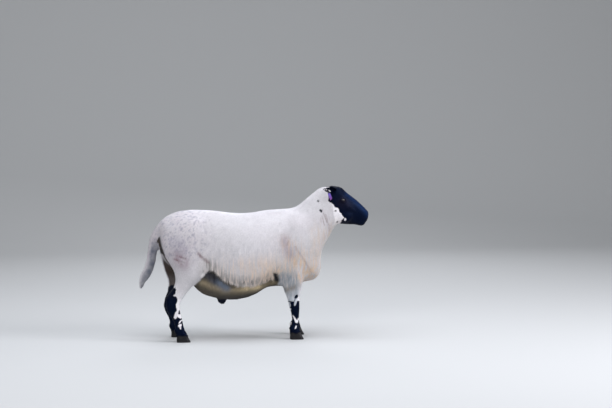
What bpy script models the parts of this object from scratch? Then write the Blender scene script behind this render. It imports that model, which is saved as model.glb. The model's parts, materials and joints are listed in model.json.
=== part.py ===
"""A shorn ram standing still, life size: metres, +Z up, facing +X, right side towards -Y, soles at Z = 0.

The flesh is modelled whole: closed tubes and bulges are fused into one form, which thin plane cuts
then part into head, muzzle, neck, chest, barrel, rump and legs. Horn, eyes, ears, tail and the ear
tag are pieces of their own that meet it across the same narrow gap.
"""

import math
from collections import namedtuple

import bmesh
import bpy
from mathutils import Matrix, Vector

GAP = 0.0004            # clear space that parts two neighbours
RING_SIDES = 28         # points round a tube's section
BODY_VOXEL = 0.009      # grain of the fused body
HEAD_VOXEL = 0.0055     # grain of the fused head
BODY_TRIANGLES = 3400
HEAD_TRIANGLES = 1750

FORE_TOP = 0.335        # where a foreleg leaves the chest
KNEE_CUT = 0.205
HIND_TOP_FRONT = (-0.262, 0.392)    # the line from flank to buttock where a hind leg leaves the rump
HIND_TOP_REAR = (-0.56, 0.470)
HIND_FRONT_LEAN = 13.4  # degrees that the cut in front of a hind leg leans back from upright
FORE_REAR = 0.060       # the cut behind a foreleg
HOCK_CUT = 0.205
CORONET = 0.031         # top of the hooves
LEG_INNER = 0.040       # half the space at the midline that no leg takes

NECK_HEAD = ((0.424, 0.858), (0.470, 0.632))      # poll to throat
NECK_CHEST = ((0.222, 0.745), (0.392, 0.462))     # withers to breast
HEAD_MUZZLE = ((0.578, 0.790), (0.566, 0.620))    # bridge of the nose to jaw
CHEST_BARREL = 0.020
BARREL_RUMP = -0.262

EYE_CENTRE = Vector((0.4895, 0.0630, 0.7755))
EYE_RADIUS = 0.0145
EAR_ROOT = Vector((0.450, 0.042, 0.829))
EAR_AIM = {-1: Vector((-0.60, 0.80, 0.16)), 1: Vector((-0.36, 0.92, -0.06))}     # the left one hangs a little
EAR_LENGTH = 0.142
EAR_WIDTH = 0.050
EAR_THICKNESS = 0.0045
TAG_HEIGHT, TAG_WIDTH, TAG_THICKNESS = 0.040, 0.030, 0.0016
TAG_NECK, TAG_NECK_HALF, TAG_CORNER = 0.018, 0.0065, 0.004     # the narrow part that the tag hangs by
TAG_PIN = (0.48, -0.5)  # where it goes through the ear: along it, round its hollow
TAG_DROP = Vector((0.42, 0.18, -1))
BOUNDS_SIZE = 4         # side of the block that cutters are sliced from, larger than the animal

# One section of a tube: two opposite points in the XZ plane, the sideways centre and half width.
Ring = namedtuple("Ring", "ax az bx bz y half")

TRUNK = (               # back point, belly point
    Ring(-0.541, 0.640, -0.541, 0.560, 0, 0.040),    # dock
    Ring(-0.529, 0.668, -0.529, 0.505, 0, 0.088),
    Ring(-0.495, 0.695, -0.495, 0.440, 0, 0.122),
    Ring(-0.440, 0.719, -0.440, 0.385, 0, 0.140),    # hooks
    Ring(-0.370, 0.729, -0.370, 0.325, 0, 0.148),
    Ring(-0.310, 0.729, -0.310, 0.262, 0, 0.156),
    Ring(-0.250, 0.726, -0.250, 0.237, 0, 0.168),    # flank
    Ring(-0.190, 0.718, -0.190, 0.224, 0, 0.182),
    Ring(-0.125, 0.709, -0.125, 0.219, 0, 0.193),    # deepest belly
    Ring(-0.060, 0.706, -0.060, 0.228, 0, 0.194),
    Ring(0.000, 0.712, 0.000, 0.249, 0, 0.184),
    Ring(0.060, 0.722, 0.060, 0.284, 0, 0.168),
    Ring(0.120, 0.727, 0.120, 0.291, 0, 0.152),      # girth
    Ring(0.180, 0.729, 0.180, 0.292, 0, 0.140),      # withers
    Ring(0.240, 0.722, 0.240, 0.304, 0, 0.127),
    Ring(0.290, 0.690, 0.295, 0.315, 0, 0.110),
    Ring(0.328, 0.620, 0.338, 0.322, 0, 0.088),      # breast
    Ring(0.355, 0.540, 0.366, 0.350, 0, 0.062),
    Ring(0.370, 0.490, 0.378, 0.395, 0, 0.036),
)
NECK = (                # crest point, throat point
    Ring(0.130, 0.722, 0.300, 0.420, 0, 0.126),
    Ring(0.205, 0.731, 0.368, 0.440, 0, 0.122),
    Ring(0.243, 0.744, 0.380, 0.482, 0, 0.111),
    Ring(0.275, 0.770, 0.396, 0.517, 0, 0.098),
    Ring(0.308, 0.799, 0.416, 0.545, 0, 0.087),
    Ring(0.343, 0.827, 0.434, 0.578, 0, 0.077),
    Ring(0.382, 0.852, 0.452, 0.612, 0, 0.073),
    Ring(0.424, 0.854, 0.470, 0.638, 0, 0.068),
)
HEAD = (                # top of skull and nose, underside of jaw
    Ring(0.392, 0.846, 0.430, 0.660, 0, 0.058),
    Ring(0.428, 0.854, 0.462, 0.641, 0, 0.066),      # poll
    Ring(0.462, 0.851, 0.492, 0.637, 0, 0.070),
    Ring(0.494, 0.843, 0.520, 0.634, 0, 0.069),      # eyes
    Ring(0.522, 0.817, 0.543, 0.633, 0, 0.059),
    Ring(0.551, 0.795, 0.562, 0.632, 0, 0.049),
    Ring(0.580, 0.773, 0.580, 0.630, 0, 0.043),
    Ring(0.606, 0.750, 0.599, 0.626, 0, 0.040),
    Ring(0.629, 0.728, 0.620, 0.630, 0, 0.038),      # nostrils
    Ring(0.642, 0.710, 0.636, 0.646, 0, 0.034),
    Ring(0.649, 0.694, 0.648, 0.664, 0, 0.022),
)
FORELEG = (             # rear point, front point
    Ring(0.080, 0.500, 0.268, 0.500, 0.082, 0.050),  # elbow, inside the chest
    Ring(0.096, 0.400, 0.270, 0.400, 0.086, 0.050),
    Ring(0.129, 0.345, 0.266, 0.345, 0.088, 0.042),
    Ring(0.143, 0.307, 0.260, 0.307, 0.089, 0.034),
    Ring(0.156, 0.275, 0.251, 0.275, 0.090, 0.029),
    Ring(0.169, 0.232, 0.241, 0.232, 0.091, 0.026),
    Ring(0.176, 0.205, 0.241, 0.205, 0.092, 0.026),  # knee
    Ring(0.181, 0.180, 0.241, 0.180, 0.092, 0.026),
    Ring(0.190, 0.150, 0.240, 0.150, 0.093, 0.021),
    Ring(0.195, 0.115, 0.237, 0.115, 0.094, 0.018),  # cannon
    Ring(0.192, 0.080, 0.237, 0.080, 0.095, 0.020),
    Ring(0.187, 0.062, 0.240, 0.062, 0.095, 0.024),  # fetlock
    Ring(0.182, 0.042, 0.245, 0.042, 0.096, 0.025),
    Ring(0.185, 0.020, 0.252, 0.020, 0.096, 0.026),
)
HIND_LEG = (            # rear point, front point
    Ring(-0.520, 0.640, -0.350, 0.640, 0.074, 0.050),
    Ring(-0.536, 0.560, -0.300, 0.560, 0.086, 0.062),
    Ring(-0.519, 0.490, -0.272, 0.490, 0.092, 0.064),
    Ring(-0.492, 0.435, -0.268, 0.435, 0.096, 0.060),
    Ring(-0.472, 0.400, -0.283, 0.400, 0.099, 0.056),  # stifle
    Ring(-0.464, 0.365, -0.306, 0.365, 0.101, 0.050),
    Ring(-0.464, 0.325, -0.343, 0.325, 0.103, 0.040),
    Ring(-0.483, 0.290, -0.379, 0.290, 0.104, 0.033),
    Ring(-0.509, 0.255, -0.408, 0.255, 0.105, 0.029),  # point of the hock
    Ring(-0.514, 0.222, -0.429, 0.222, 0.106, 0.029),
    Ring(-0.511, 0.190, -0.435, 0.190, 0.106, 0.028),
    Ring(-0.501, 0.160, -0.429, 0.160, 0.106, 0.024),
    Ring(-0.483, 0.135, -0.422, 0.135, 0.106, 0.020),
    Ring(-0.467, 0.105, -0.415, 0.105, 0.106, 0.018),  # cannon
    Ring(-0.463, 0.075, -0.408, 0.075, 0.106, 0.021),
    Ring(-0.461, 0.055, -0.398, 0.055, 0.106, 0.025),  # fetlock
    Ring(-0.457, 0.038, -0.388, 0.038, 0.106, 0.025),
    Ring(-0.454, 0.020, -0.380, 0.020, 0.106, 0.026),
)
TAIL = (                # outer point, inner point
    Ring(-0.520, 0.672, -0.515, 0.600, 0, 0.026),
    Ring(-0.556, 0.645, -0.535, 0.585, 0, 0.027),
    Ring(-0.580, 0.600, -0.541, 0.560, 0, 0.026),
    Ring(-0.592, 0.560, -0.541, 0.526, 0, 0.025),
    Ring(-0.600, 0.510, -0.546, 0.482, 0, 0.024),
    Ring(-0.607, 0.460, -0.553, 0.438, 0, 0.023),
    Ring(-0.621, 0.412, -0.568, 0.392, 0, 0.021),
    Ring(-0.640, 0.375, -0.593, 0.353, 0, 0.018),
    Ring(-0.649, 0.340, -0.615, 0.328, 0, 0.014),
    Ring(-0.650, 0.312, -0.626, 0.305, 0, 0.010),
    Ring(-0.643, 0.296, -0.634, 0.295, 0, 0.004),
)
# How far forward the left legs stand of the mirror image of the right ones: height, shift.
FORE_STAGGER = ((0.42, 0.0), (0.12, 0.032), (0.0, 0.034))
HIND_STAGGER = ((0.54, 0.0), (0.38, -0.044), (0.31, -0.013), (0.255, 0.024), (0.135, -0.009), (0.0, -0.010))


def clear_scene():
    for item in list(bpy.data.objects):
        bpy.data.objects.remove(item, do_unlink=True)


def make_material(name, colour, roughness):
    """A Principled material of one plain colour."""
    made = bpy.data.materials.new(name)
    made.use_nodes = True
    shader = made.node_tree.nodes["Principled BSDF"]
    shader.inputs["Base Color"].default_value = (*colour, 1)
    shader.inputs["Roughness"].default_value = roughness
    shader.inputs["Metallic"].default_value = 0
    return made


def add_object(name, mesh, finish=None):
    made = bpy.data.objects.new(name, mesh)
    bpy.context.scene.collection.objects.link(made)
    if finish:
        mesh.materials.clear()
        mesh.materials.append(finish)
    return made


def as_helper(item):
    """A form or cutter that is no piece of the model."""
    item.hide_render = True
    item.display_type = "WIRE"
    return item


def evaluated_mesh(item):
    """The mesh that the object's modifiers make."""
    graph = bpy.context.evaluated_depsgraph_get()
    graph.update()
    return bpy.data.meshes.new_from_object(item.evaluated_get(graph))


def catmull_rom(a, b, c, d, t):
    bend = 2 * a - 5 * b + 4 * c - d
    twist = 3 * b - a - 3 * c + d
    return 0.5 * (2 * b + (c - a) * t + bend * t * t + twist * t ** 3)


def smooth_rings(rings, steps):
    """The rings with others between them on a smooth curve through all."""
    last = len(rings) - 1
    fine = []
    for i in range(last):
        near = rings[max(i - 1, 0)], rings[i], rings[i + 1], rings[min(i + 2, last)]
        for k in range(steps):
            fine.append(Ring(*(catmull_rom(*four, k / steps) for four in zip(*near))))
    fine.append(rings[last])
    return fine


def section(ring, sides, sag, squareness):
    """Points round one ring. A positive sag puts the widest place below the middle."""
    middle = Vector(((ring.ax + ring.bx) / 2, ring.y, (ring.az + ring.bz) / 2))
    reach = Vector(((ring.ax - ring.bx) / 2, 0, (ring.az - ring.bz) / 2))
    points = []
    for i in range(sides):
        turn = 2 * math.pi * i / sides
        up, out = (math.copysign(abs(v) ** (2 / squareness), v) for v in (math.cos(turn), math.sin(turn)))
        up -= sag * (1 - up * up)
        points.append(middle + reach * up + Vector((0, ring.half * out, 0)))
    return points


def add_loft(bm, sections):
    """A closed tube through sections of equally many points."""
    loops = [[bm.verts.new(point) for point in points] for points in sections]
    for first, second in zip(loops, loops[1:]):
        for i, vertex in enumerate(first):
            after = (i + 1) % len(first)
            bm.faces.new((vertex, first[after], second[after], second[i]))
    bm.faces.new(loops[0][::-1])
    bm.faces.new(loops[-1])


def add_tube(bm, rings, steps=3, sag=0.0, squareness=2.0):
    add_loft(bm, [section(ring, RING_SIDES, sag, squareness) for ring in smooth_rings(rings, steps)])


def add_bulge(bm, centre, radii, tilt=0.0, fineness=3):
    """An ellipsoid turned by tilt degrees about the sideways axis."""
    turn = Matrix.Rotation(math.radians(tilt), 4, "Y")
    place = Matrix.Translation(centre) @ turn @ Matrix.Diagonal((*radii, 1))
    bmesh.ops.create_icosphere(bm, subdivisions=fineness, radius=1, matrix=place)


def finish_mesh(bm, name):
    bmesh.ops.recalc_face_normals(bm, faces=bm.faces)
    mesh = bpy.data.meshes.new(name)
    bm.to_mesh(mesh)
    bm.free()
    return mesh


def stagger_at(stagger, side, height):
    """How far a leg of this side is shifted forward at a height."""
    if side < 0 or height >= stagger[0][0]:
        return 0
    for (high, above), (low, below) in zip(stagger, stagger[1:]):
        if height >= low:
            return below + (above - below) * (height - low) / (high - low)
    return stagger[-1][1]


def leg_rings(rings, side, stagger):
    """A right leg's rings, put on one side."""
    shifts = [stagger_at(stagger, side, ring.az) for ring in rings]
    return [ring._replace(ax=ring.ax + shift, bx=ring.bx + shift, y=side * ring.y)
            for ring, shift in zip(rings, shifts)]


def add_head(bm):
    add_tube(bm, HEAD, sag=-0.20, squareness=2.2)
    for side in (-1, 1):
        add_bulge(bm, (0.484, side * 0.048, 0.797), (0.036, 0.023, 0.020), 35)     # brow over the eye
        add_bulge(bm, (0.512, side * 0.046, 0.742), (0.046, 0.024, 0.020), 35)     # cheek bone
        add_bulge(bm, (0.500, side * 0.040, 0.690), (0.055, 0.026, 0.045), 10)     # jaw muscle
        add_bulge(bm, (0.628, side * 0.023, 0.698), (0.018, 0.015, 0.020), 35)     # wing of the nostril
    add_bulge(bm, (0.634, 0, 0.673), (0.015, 0.027, 0.015), 10)                    # upper lip
    add_bulge(bm, (0.607, 0, 0.640), (0.025, 0.028, 0.016), 5)                     # lower lip and chin


def add_body(bm):
    add_tube(bm, TRUNK, sag=0.16, squareness=2.25)
    add_tube(bm, NECK, sag=0.05, squareness=2.15)
    for side in (-1, 1):
        add_tube(bm, leg_rings(FORELEG, side, FORE_STAGGER))
        add_tube(bm, leg_rings(HIND_LEG, side, HIND_STAGGER))
        add_bulge(bm, (0.205, side * 0.076, 0.520), (0.105, 0.066, 0.190), 14)     # shoulder
        add_bulge(bm, (0.285, side * 0.046, 0.440), (0.066, 0.052, 0.085), 0)      # point of the shoulder
        add_bulge(bm, (-0.390, side * 0.084, 0.560), (0.130, 0.066, 0.130), 20)    # thigh
        add_bulge(bm, (-0.375, side * 0.078, 0.660), (0.085, 0.048, 0.038), 0)     # hip
        for x, y, stagger in ((0.186, 0.095, FORE_STAGGER), (-0.461, 0.106, HIND_STAGGER)):
            for toe in (-1, 1):
                centre = (x + stagger_at(stagger, side, 0.064), side * y + toe * 0.012, 0.064)
                add_bulge(bm, centre, (0.009, 0.008, 0.010), 0)                    # dew claw


def fuse(name, add_shapes, voxel, soft_spread, triangles):
    """The overlapping shapes as one closed form, its creases filled, most of all where nothing is slender."""
    bm = bmesh.new()
    for add_shape in add_shapes:
        add_shape(bm)
    rough = as_helper(add_object(name + "_shapes", finish_mesh(bm, name + "_shapes")))
    remesh = rough.modifiers.new("Fuse", "REMESH")
    remesh.mode = "VOXEL"
    remesh.voxel_size = voxel

    form = as_helper(add_object(name, evaluated_mesh(rough)))
    stout = form.vertex_groups.new(name="stout")
    for vertex in form.data.vertices:
        stout.add([vertex.index], stoutness(vertex.co), "REPLACE")
    blend = form.modifiers.new("Blend", "SMOOTH")
    blend.factor = 0.5
    blend.iterations = round((soft_spread / voxel) ** 2)
    blend.vertex_group = "stout"
    even = form.modifiers.new("Even", "SMOOTH")
    even.factor = 0.5
    even.iterations = 2
    thin_out = form.modifiers.new("Thin out", "DECIMATE")
    thin_out.ratio = triangles / (2 * len(form.data.polygons))
    thin_out.use_collapse_triangulate = True
    return form


def ramp(value, low, high):
    share = min(max((value - low) / (high - low), 0), 1)
    return share * share * (3 - 2 * share)


def stoutness(point):
    """1 on the trunk, falling to almost nothing on the lower legs and the face."""
    above_legs = ramp(point.z, 0.24, 0.40) if abs(point.y) > 0.05 else 1
    behind_face = 1 - 0.9 * ramp(point.x, 0.40, 0.48) * ramp(point.z, 0.55, 0.62)
    return max(above_legs * behind_face, 0.02)


def halfspace_cutter(name, planes):
    """The block that lies behind every plane, each a point and an outward normal."""
    bm = bmesh.new()
    bmesh.ops.create_cube(bm, size=BOUNDS_SIZE)
    for point, normal in planes:
        everything = bm.verts[:] + bm.edges[:] + bm.faces[:]
        cut = bmesh.ops.bisect_plane(
            bm, geom=everything, dist=1e-7, plane_co=point, plane_no=normal, clear_outer=True
        )
        rim = [item for item in cut["geom_cut"] if isinstance(item, bmesh.types.BMEdge)]
        bmesh.ops.edgeloop_fill(bm, edges=rim)
    bmesh.ops.triangulate(bm, faces=bm.faces)
    return as_helper(add_object(name, finish_mesh(bm, name)))


def line_plane(line, forward, clear):
    """The plane across the animal through a line in the XZ plane, drawn back by clear.

    The line runs downwards. The normal points forwards if forward is 1 and backwards if it is -1.
    """
    (ax, az), (bx, bz) = line
    normal = Vector((az - bz, 0, bx - ax)).normalized() * forward
    return Vector((ax, 0, az)) - normal * clear, normal


def flat_plane(axis, value, facing, clear):
    normal = Vector([facing if i == axis else 0 for i in range(3)])
    point = Vector([value if i == axis else 0 for i in range(3)])
    return point - normal * clear, normal


def leg_planes(side, fore, clear):
    """The outer bounds of one leg, drawn in by clear (or let out, where it is negative)."""
    planes = [flat_plane(1, side * LEG_INNER, -side, clear)]
    if fore:
        planes.append(flat_plane(2, FORE_TOP, 1, clear))
        planes.append(flat_plane(0, FORE_REAR, -1, clear))
    else:
        (ax, az), (bx, bz) = HIND_TOP_REAR, HIND_TOP_FRONT
        top = Vector((az - bz, 0, bx - ax)).normalized()
        planes.append((Vector((ax, 0, az)) - top * clear, top))
        lean = math.radians(HIND_FRONT_LEAN)
        front = Vector((math.cos(lean), 0, -math.sin(lean)))
        planes.append((Vector((bx, 0, bz)) - front * clear, front))
    return planes


def cut_piece(name, form_mesh, finish, planes, take_away=()):
    """The part of the form behind all the planes, less other helpers."""
    piece = add_object(name, form_mesh.copy(), finish)
    keep = piece.modifiers.new("Keep", "BOOLEAN")
    keep.operation = "INTERSECT"
    keep.object = halfspace_cutter(name + "_bounds", planes)
    for helper in take_away:
        subtract(piece, helper)
    return piece


def subtract(piece, helper):
    less = piece.modifiers.new("Less " + helper.name, "BOOLEAN")
    less.operation = "DIFFERENCE"
    less.object = helper


def make_flesh(finish):
    body = evaluated_mesh(fuse("body_form", (add_body, add_head), BODY_VOXEL, 0.034, BODY_TRIANGLES))
    head = evaluated_mesh(fuse("head_form", (add_neck, add_head), HEAD_VOXEL, 0.034, HEAD_TRIANGLES))
    half = GAP / 2
    legs = [(side, fore) for side in (-1, 1) for fore in (True, False)]
    leg_room = {
        leg: halfspace_cutter("leg_room_%d_%d" % leg, leg_planes(*leg, -half)) for leg in legs
    }
    fore_room = [leg_room[side, True] for side in (-1, 1)]
    hind_room = [leg_room[side, False] for side in (-1, 1)]
    sockets = [eye_socket(side) for side in (-1, 1)]
    cut_piece("head", head, finish,
              (line_plane(NECK_HEAD, -1, half), line_plane(HEAD_MUZZLE, 1, half)), sockets)
    cut_piece("muzzle", head, finish, (line_plane(HEAD_MUZZLE, -1, half),))
    cut_piece("neck", body, finish, (line_plane(NECK_CHEST, -1, half), line_plane(NECK_HEAD, 1, half)))
    cut_piece("chest", body, finish,
              (line_plane(NECK_CHEST, 1, half), flat_plane(0, CHEST_BARREL, -1, half)), fore_room)
    cut_piece("barrel", body, finish,
              (flat_plane(0, CHEST_BARREL, 1, half), flat_plane(0, BARREL_RUMP, -1, half)), hind_room)
    cut_piece("rump", body, finish, (flat_plane(0, BARREL_RUMP, 1, half),), hind_room)
    for side, fore in legs:
        name = ("foreleg_" if fore else "hind_leg_") + ("right" if side < 0 else "left")
        joint = KNEE_CUT if fore else HOCK_CUT
        bounds = leg_planes(side, fore, half)
        cut_piece(name + "_upper", body, finish, bounds + [flat_plane(2, joint, -1, half)])
        cut_piece(name + "_lower", body, finish,
                  bounds + [flat_plane(2, joint, 1, half), flat_plane(2, CORONET, -1, half)])
    return body, head


def add_neck(bm):
    add_tube(bm, NECK, sag=0.05, squareness=2.15)


def eye_socket(side):
    bm = bmesh.new()
    add_ball(bm, side, EYE_RADIUS + GAP)
    return as_helper(add_object("socket_%d" % side, finish_mesh(bm, "socket")))


def add_ball(bm, side, radius):
    centre = Vector((EYE_CENTRE.x, side * EYE_CENTRE.y, EYE_CENTRE.z))
    bmesh.ops.create_icosphere(bm, subdivisions=3, radius=radius, matrix=Matrix.Translation(centre))


def make_eyes(finish):
    for side, name in ((-1, "eye_right"), (1, "eye_left")):
        bm = bmesh.new()
        add_ball(bm, side, EYE_RADIUS)
        eye = add_object(name, finish_mesh(bm, name), finish)
        eye.data.shade_smooth()


def grown(name, mesh, clear):
    """The form let out all round by clear, to cut what stands on it."""
    helper = as_helper(add_object(name, mesh.copy()))
    swell = helper.modifiers.new("Swell", "DISPLACE")
    swell.strength = clear
    swell.mid_level = 0
    return helper


def ear_axes(side):
    """Along the ear, across its blade, and out of its hollow."""
    aim = EAR_AIM[side]
    along = Vector((aim.x, side * aim.y, aim.z)).normalized()
    hollow = Vector((0.62, side * 0.22, -0.75))
    hollow = (hollow - along * hollow.dot(along)).normalized()
    across = along.cross(hollow)
    return along, across, hollow


def ear_point(side, s, angle, inset):
    """A point on the blade: s along it, angle round its hollow, inset into its thickness."""
    along, across, hollow = ear_axes(side)
    root = Vector((EAR_ROOT.x, side * EAR_ROOT.y, EAR_ROOT.z))
    swell = 0.55 + 0.45 * math.sin(math.pi * min(s / 0.9, 1))
    width = EAR_WIDTH * swell * math.sqrt(max(1 - s ** 3.2, 0.012))
    curl = math.radians(150 - 80 * s)
    radius = width / (2 * math.sin(curl / 2))
    turn = angle * curl / 2
    reach = radius - inset
    droop = 0.008 * s * s
    return (root + along * (EAR_LENGTH * s) + across * (reach * math.sin(turn))
            + hollow * (radius * 0.5 - reach * math.cos(turn)) - Vector((0, 0, droop)))


def make_ears(finish, head_clear):
    rows, steps = 7, 9
    for side, name in ((-1, "ear_right"), (1, "ear_left")):
        sections = []
        for row in range(steps + 1):
            s = row / steps
            thick = EAR_THICKNESS * (1.3 - 0.75 * s)
            back = [ear_point(side, s, 2 * i / (rows - 1) - 1, 0) for i in range(rows)]
            front = [ear_point(side, s, 2 * i / (rows - 1) - 1, thick) for i in range(rows)]
            sections.append(back + front[::-1])
        bm = bmesh.new()
        add_loft(bm, sections)
        bmesh.ops.triangulate(bm, faces=bm.faces)
        ear = add_object(name, finish_mesh(bm, name), finish)
        subtract(ear, head_clear)


def make_tail(finish, body_clear):
    bm = bmesh.new()
    add_loft(bm, [section(ring, 12, 0, 2) for ring in smooth_rings(TAIL, 1)])
    bmesh.ops.triangulate(bm, faces=bm.faces)
    tail = add_object("tail", finish_mesh(bm, "tail"), finish)
    subtract(tail, body_clear)


def make_bag(name, centre, radii, tilt, finish, body_clear):
    """A soft hanging form under the belly, cut to the belly's own surface."""
    bm = bmesh.new()
    add_bulge(bm, centre, radii, tilt, fineness=2)
    bag = add_object(name, finish_mesh(bm, name), finish)
    subtract(bag, body_clear)


def claw_section(heel, toe, inner, outer, z, side, count=12):
    """The D-shaped outline of one claw, straight along the cleft."""
    points = []
    for i in range(count):
        turn = 2 * math.pi * i / count
        along, out = math.cos(turn), math.sin(turn)
        bow = abs(out) ** 0.75 if out > 0 else 0.35 * abs(out)
        mid = inner + (outer - inner) * 0.28
        y = mid + (outer - mid) * bow if out > 0 else mid - (mid - inner) * min(abs(out) * 1.6, 1)
        x = (heel + toe) / 2 + (toe - heel) / 2 * math.copysign(abs(along) ** 0.8, along)
        points.append(Vector((x, side * y, z)))
    return points


def make_hooves(finish):
    """Two claws on each foot, flat on the ground."""
    feet = []
    for side, hand in ((-1, "right"), (1, "left")):
        feet.append(("fore_" + hand, 0.186 + stagger_at(FORE_STAGGER, side, 0), side * 0.096))
        feet.append(("hind_" + hand, -0.452 + stagger_at(HIND_STAGGER, side, 0), side * 0.106))
    top = CORONET - GAP / 2
    for foot, heel, y in feet:
        for toe_side, claw in ((-1, "outer" if y < 0 else "inner"), (1, "inner" if y < 0 else "outer")):
            sections = []
            for share in (0, 0.12, 0.5, 1):
                z = top * share
                lean = 0.017 * share
                splay = 0.0028 - 0.001 * share
                outline = claw_section(
                    heel - 0.001 + 0.002 * share, heel + 0.078 - lean - 0.0015 * (share == 0),
                    splay, 0.027 - 0.002 * share, z, toe_side)
                sections.append([point + Vector((0, y, 0)) for point in outline])
            bm = bmesh.new()
            add_loft(bm, sections)
            bmesh.ops.triangulate(bm, faces=bm.faces)
            add_object("hoof_%s_%s" % (foot, claw), finish_mesh(bm, "hoof"), finish)


def tag_outline():
    """Across and down from the pin: a round top, a narrow neck and a plate with round corners."""
    half, bottom, shoulder = TAG_WIDTH / 2, TAG_NECK + TAG_HEIGHT, TAG_NECK
    rounds = (              # centre, radius, first and last angle
        ((half - TAG_CORNER, shoulder + TAG_CORNER), TAG_CORNER, -90, 0),
        ((half - TAG_CORNER, bottom - TAG_CORNER), TAG_CORNER, 0, 90),
        ((TAG_CORNER - half, bottom - TAG_CORNER), TAG_CORNER, 90, 180),
        ((TAG_CORNER - half, shoulder + TAG_CORNER), TAG_CORNER, 180, 270),
        ((0, 0), TAG_NECK_HALF, 180, 360),
    )
    points = []
    for (x, y), radius, first, last in rounds:
        steps = 3 if radius == TAG_CORNER else 8
        for i in range(steps + 1):
            turn = math.radians(first + (last - first) * i / steps)
            points.append((x + radius * math.cos(turn), y + radius * math.sin(turn)))
    return points


def make_tag(finish):
    """A plain flag tag, pinned through the right ear, that hangs from its hollow."""
    along, across, hollow = ear_axes(-1)
    pin = ear_point(-1, *TAG_PIN, EAR_THICKNESS) + hollow * (0.001 + TAG_THICKNESS)
    drop = TAG_DROP.normalized()
    sideways = Vector((along.x, along.y, 0))
    sideways = (sideways - drop * sideways.dot(drop)).normalized()
    out = sideways.cross(drop)
    bm = bmesh.new()
    rings = []
    for lift in (-0.5, 0.5):
        rings.append([pin + sideways * x + drop * y + out * (TAG_THICKNESS * lift) for x, y in tag_outline()])
    add_loft(bm, rings)
    bmesh.ops.triangulate(bm, faces=bm.faces)
    tag = add_object("ear_tag", finish_mesh(bm, "ear_tag"), finish)
    subtract(tag, grown("ear_clear", bpy.data.objects["ear_right"].data, GAP))


def main():
    clear_scene()
    fleece = make_material("fleece", (0.78, 0.74, 0.68), 0.9)
    black_hair = make_material("black_hair", (0.02, 0.02, 0.024), 0.6)
    horn = make_material("horn", (0.035, 0.032, 0.03), 0.5)
    eye = make_material("eye", (0.05, 0.035, 0.02), 0.1)
    tag = make_material("tag_plastic", (0.32, 0.12, 0.55), 0.45)
    bare_skin = make_material("bare_skin", (0.30, 0.20, 0.17), 0.7)

    body, head = make_flesh(fleece)
    for name in ("head", "muzzle", *(item.name for item in bpy.data.objects if item.name.endswith("_lower"))):
        mesh = bpy.data.objects[name].data
        mesh.materials.clear()
        mesh.materials.append(black_hair)
    body_clear = grown("body_clear", body, GAP)
    head_clear = grown("head_clear", head, GAP)
    make_eyes(eye)
    make_ears(black_hair, head_clear)
    make_tail(fleece, body_clear)
    make_bag("prepuce", (-0.188, 0, 0.228), (0.030, 0.016, 0.036), -20, bare_skin, body_clear)
    make_bag("scrotum", (-0.405, 0, 0.335), (0.038, 0.040, 0.070), 0, fleece, body_clear)
    make_hooves(horn)
    make_tag(tag)


main()
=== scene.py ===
"""The looks of a shorn ram: one skin over its flesh, a coat of wool and short hair, eyes, hooves and tag."""

import json
import math

import bmesh
import bpy
import numpy as np
from mathutils import Matrix, Vector
from mathutils.bvhtree import BVHTree

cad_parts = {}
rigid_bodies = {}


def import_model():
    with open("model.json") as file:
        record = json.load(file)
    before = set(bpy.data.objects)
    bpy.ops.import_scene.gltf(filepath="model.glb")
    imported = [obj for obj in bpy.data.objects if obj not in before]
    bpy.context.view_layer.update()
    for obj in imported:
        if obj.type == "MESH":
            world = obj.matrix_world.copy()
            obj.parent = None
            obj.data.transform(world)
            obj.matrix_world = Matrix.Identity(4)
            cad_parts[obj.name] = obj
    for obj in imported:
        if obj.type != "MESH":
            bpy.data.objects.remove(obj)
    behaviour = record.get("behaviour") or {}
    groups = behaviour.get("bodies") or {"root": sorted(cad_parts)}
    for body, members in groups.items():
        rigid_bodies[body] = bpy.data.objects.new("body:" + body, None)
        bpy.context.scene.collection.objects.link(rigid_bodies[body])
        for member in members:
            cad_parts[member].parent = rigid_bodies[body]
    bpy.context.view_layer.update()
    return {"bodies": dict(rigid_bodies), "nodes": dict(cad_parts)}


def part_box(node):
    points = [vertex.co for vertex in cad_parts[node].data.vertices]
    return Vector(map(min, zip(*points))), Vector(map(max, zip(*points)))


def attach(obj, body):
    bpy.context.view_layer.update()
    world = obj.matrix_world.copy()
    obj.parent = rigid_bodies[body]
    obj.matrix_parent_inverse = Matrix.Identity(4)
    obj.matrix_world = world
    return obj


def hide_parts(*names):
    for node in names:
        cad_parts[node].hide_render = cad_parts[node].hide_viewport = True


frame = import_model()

BODY = next(iter(frame["bodies"]))
NODES = frame["nodes"]
EARS = ["ear_right", "ear_left"]
FLESH = [name for name in NODES if not name.startswith(("hoof", "eye", "ear"))] + EARS

SKIN_GRAIN = 0.007          # grain of the skin, before its face and feet are made finer
HOOF_GRAIN = 0.0018
ALL_ROUNDS, BODY_ROUNDS = 6, 26         # how often the skin is smoothed
TRUNK_ROUNDS = 13           # the trunk's facets go, and about 1 mm of it
GAP_CLOSER = 0.0006         # how far the solids are let out, to close the gaps between them
WOOL_DEPTH = 0.0048         # how far the skin lies inside the solids under wool
BELLY_DEPTH = 0.0025        # on the bare belly
HAIR_DEPTH = 0.0015         # and under short hair
SIDES = (-1, 1)             # right, left
ABOVE_LEGS = 0.55           # height that parts the head and neck from lower places as far forward
WOOL_END, HAIR_TOP, CORONET_TOP = 0.25, 0.262, 0.046        # heights on the legs

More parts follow.
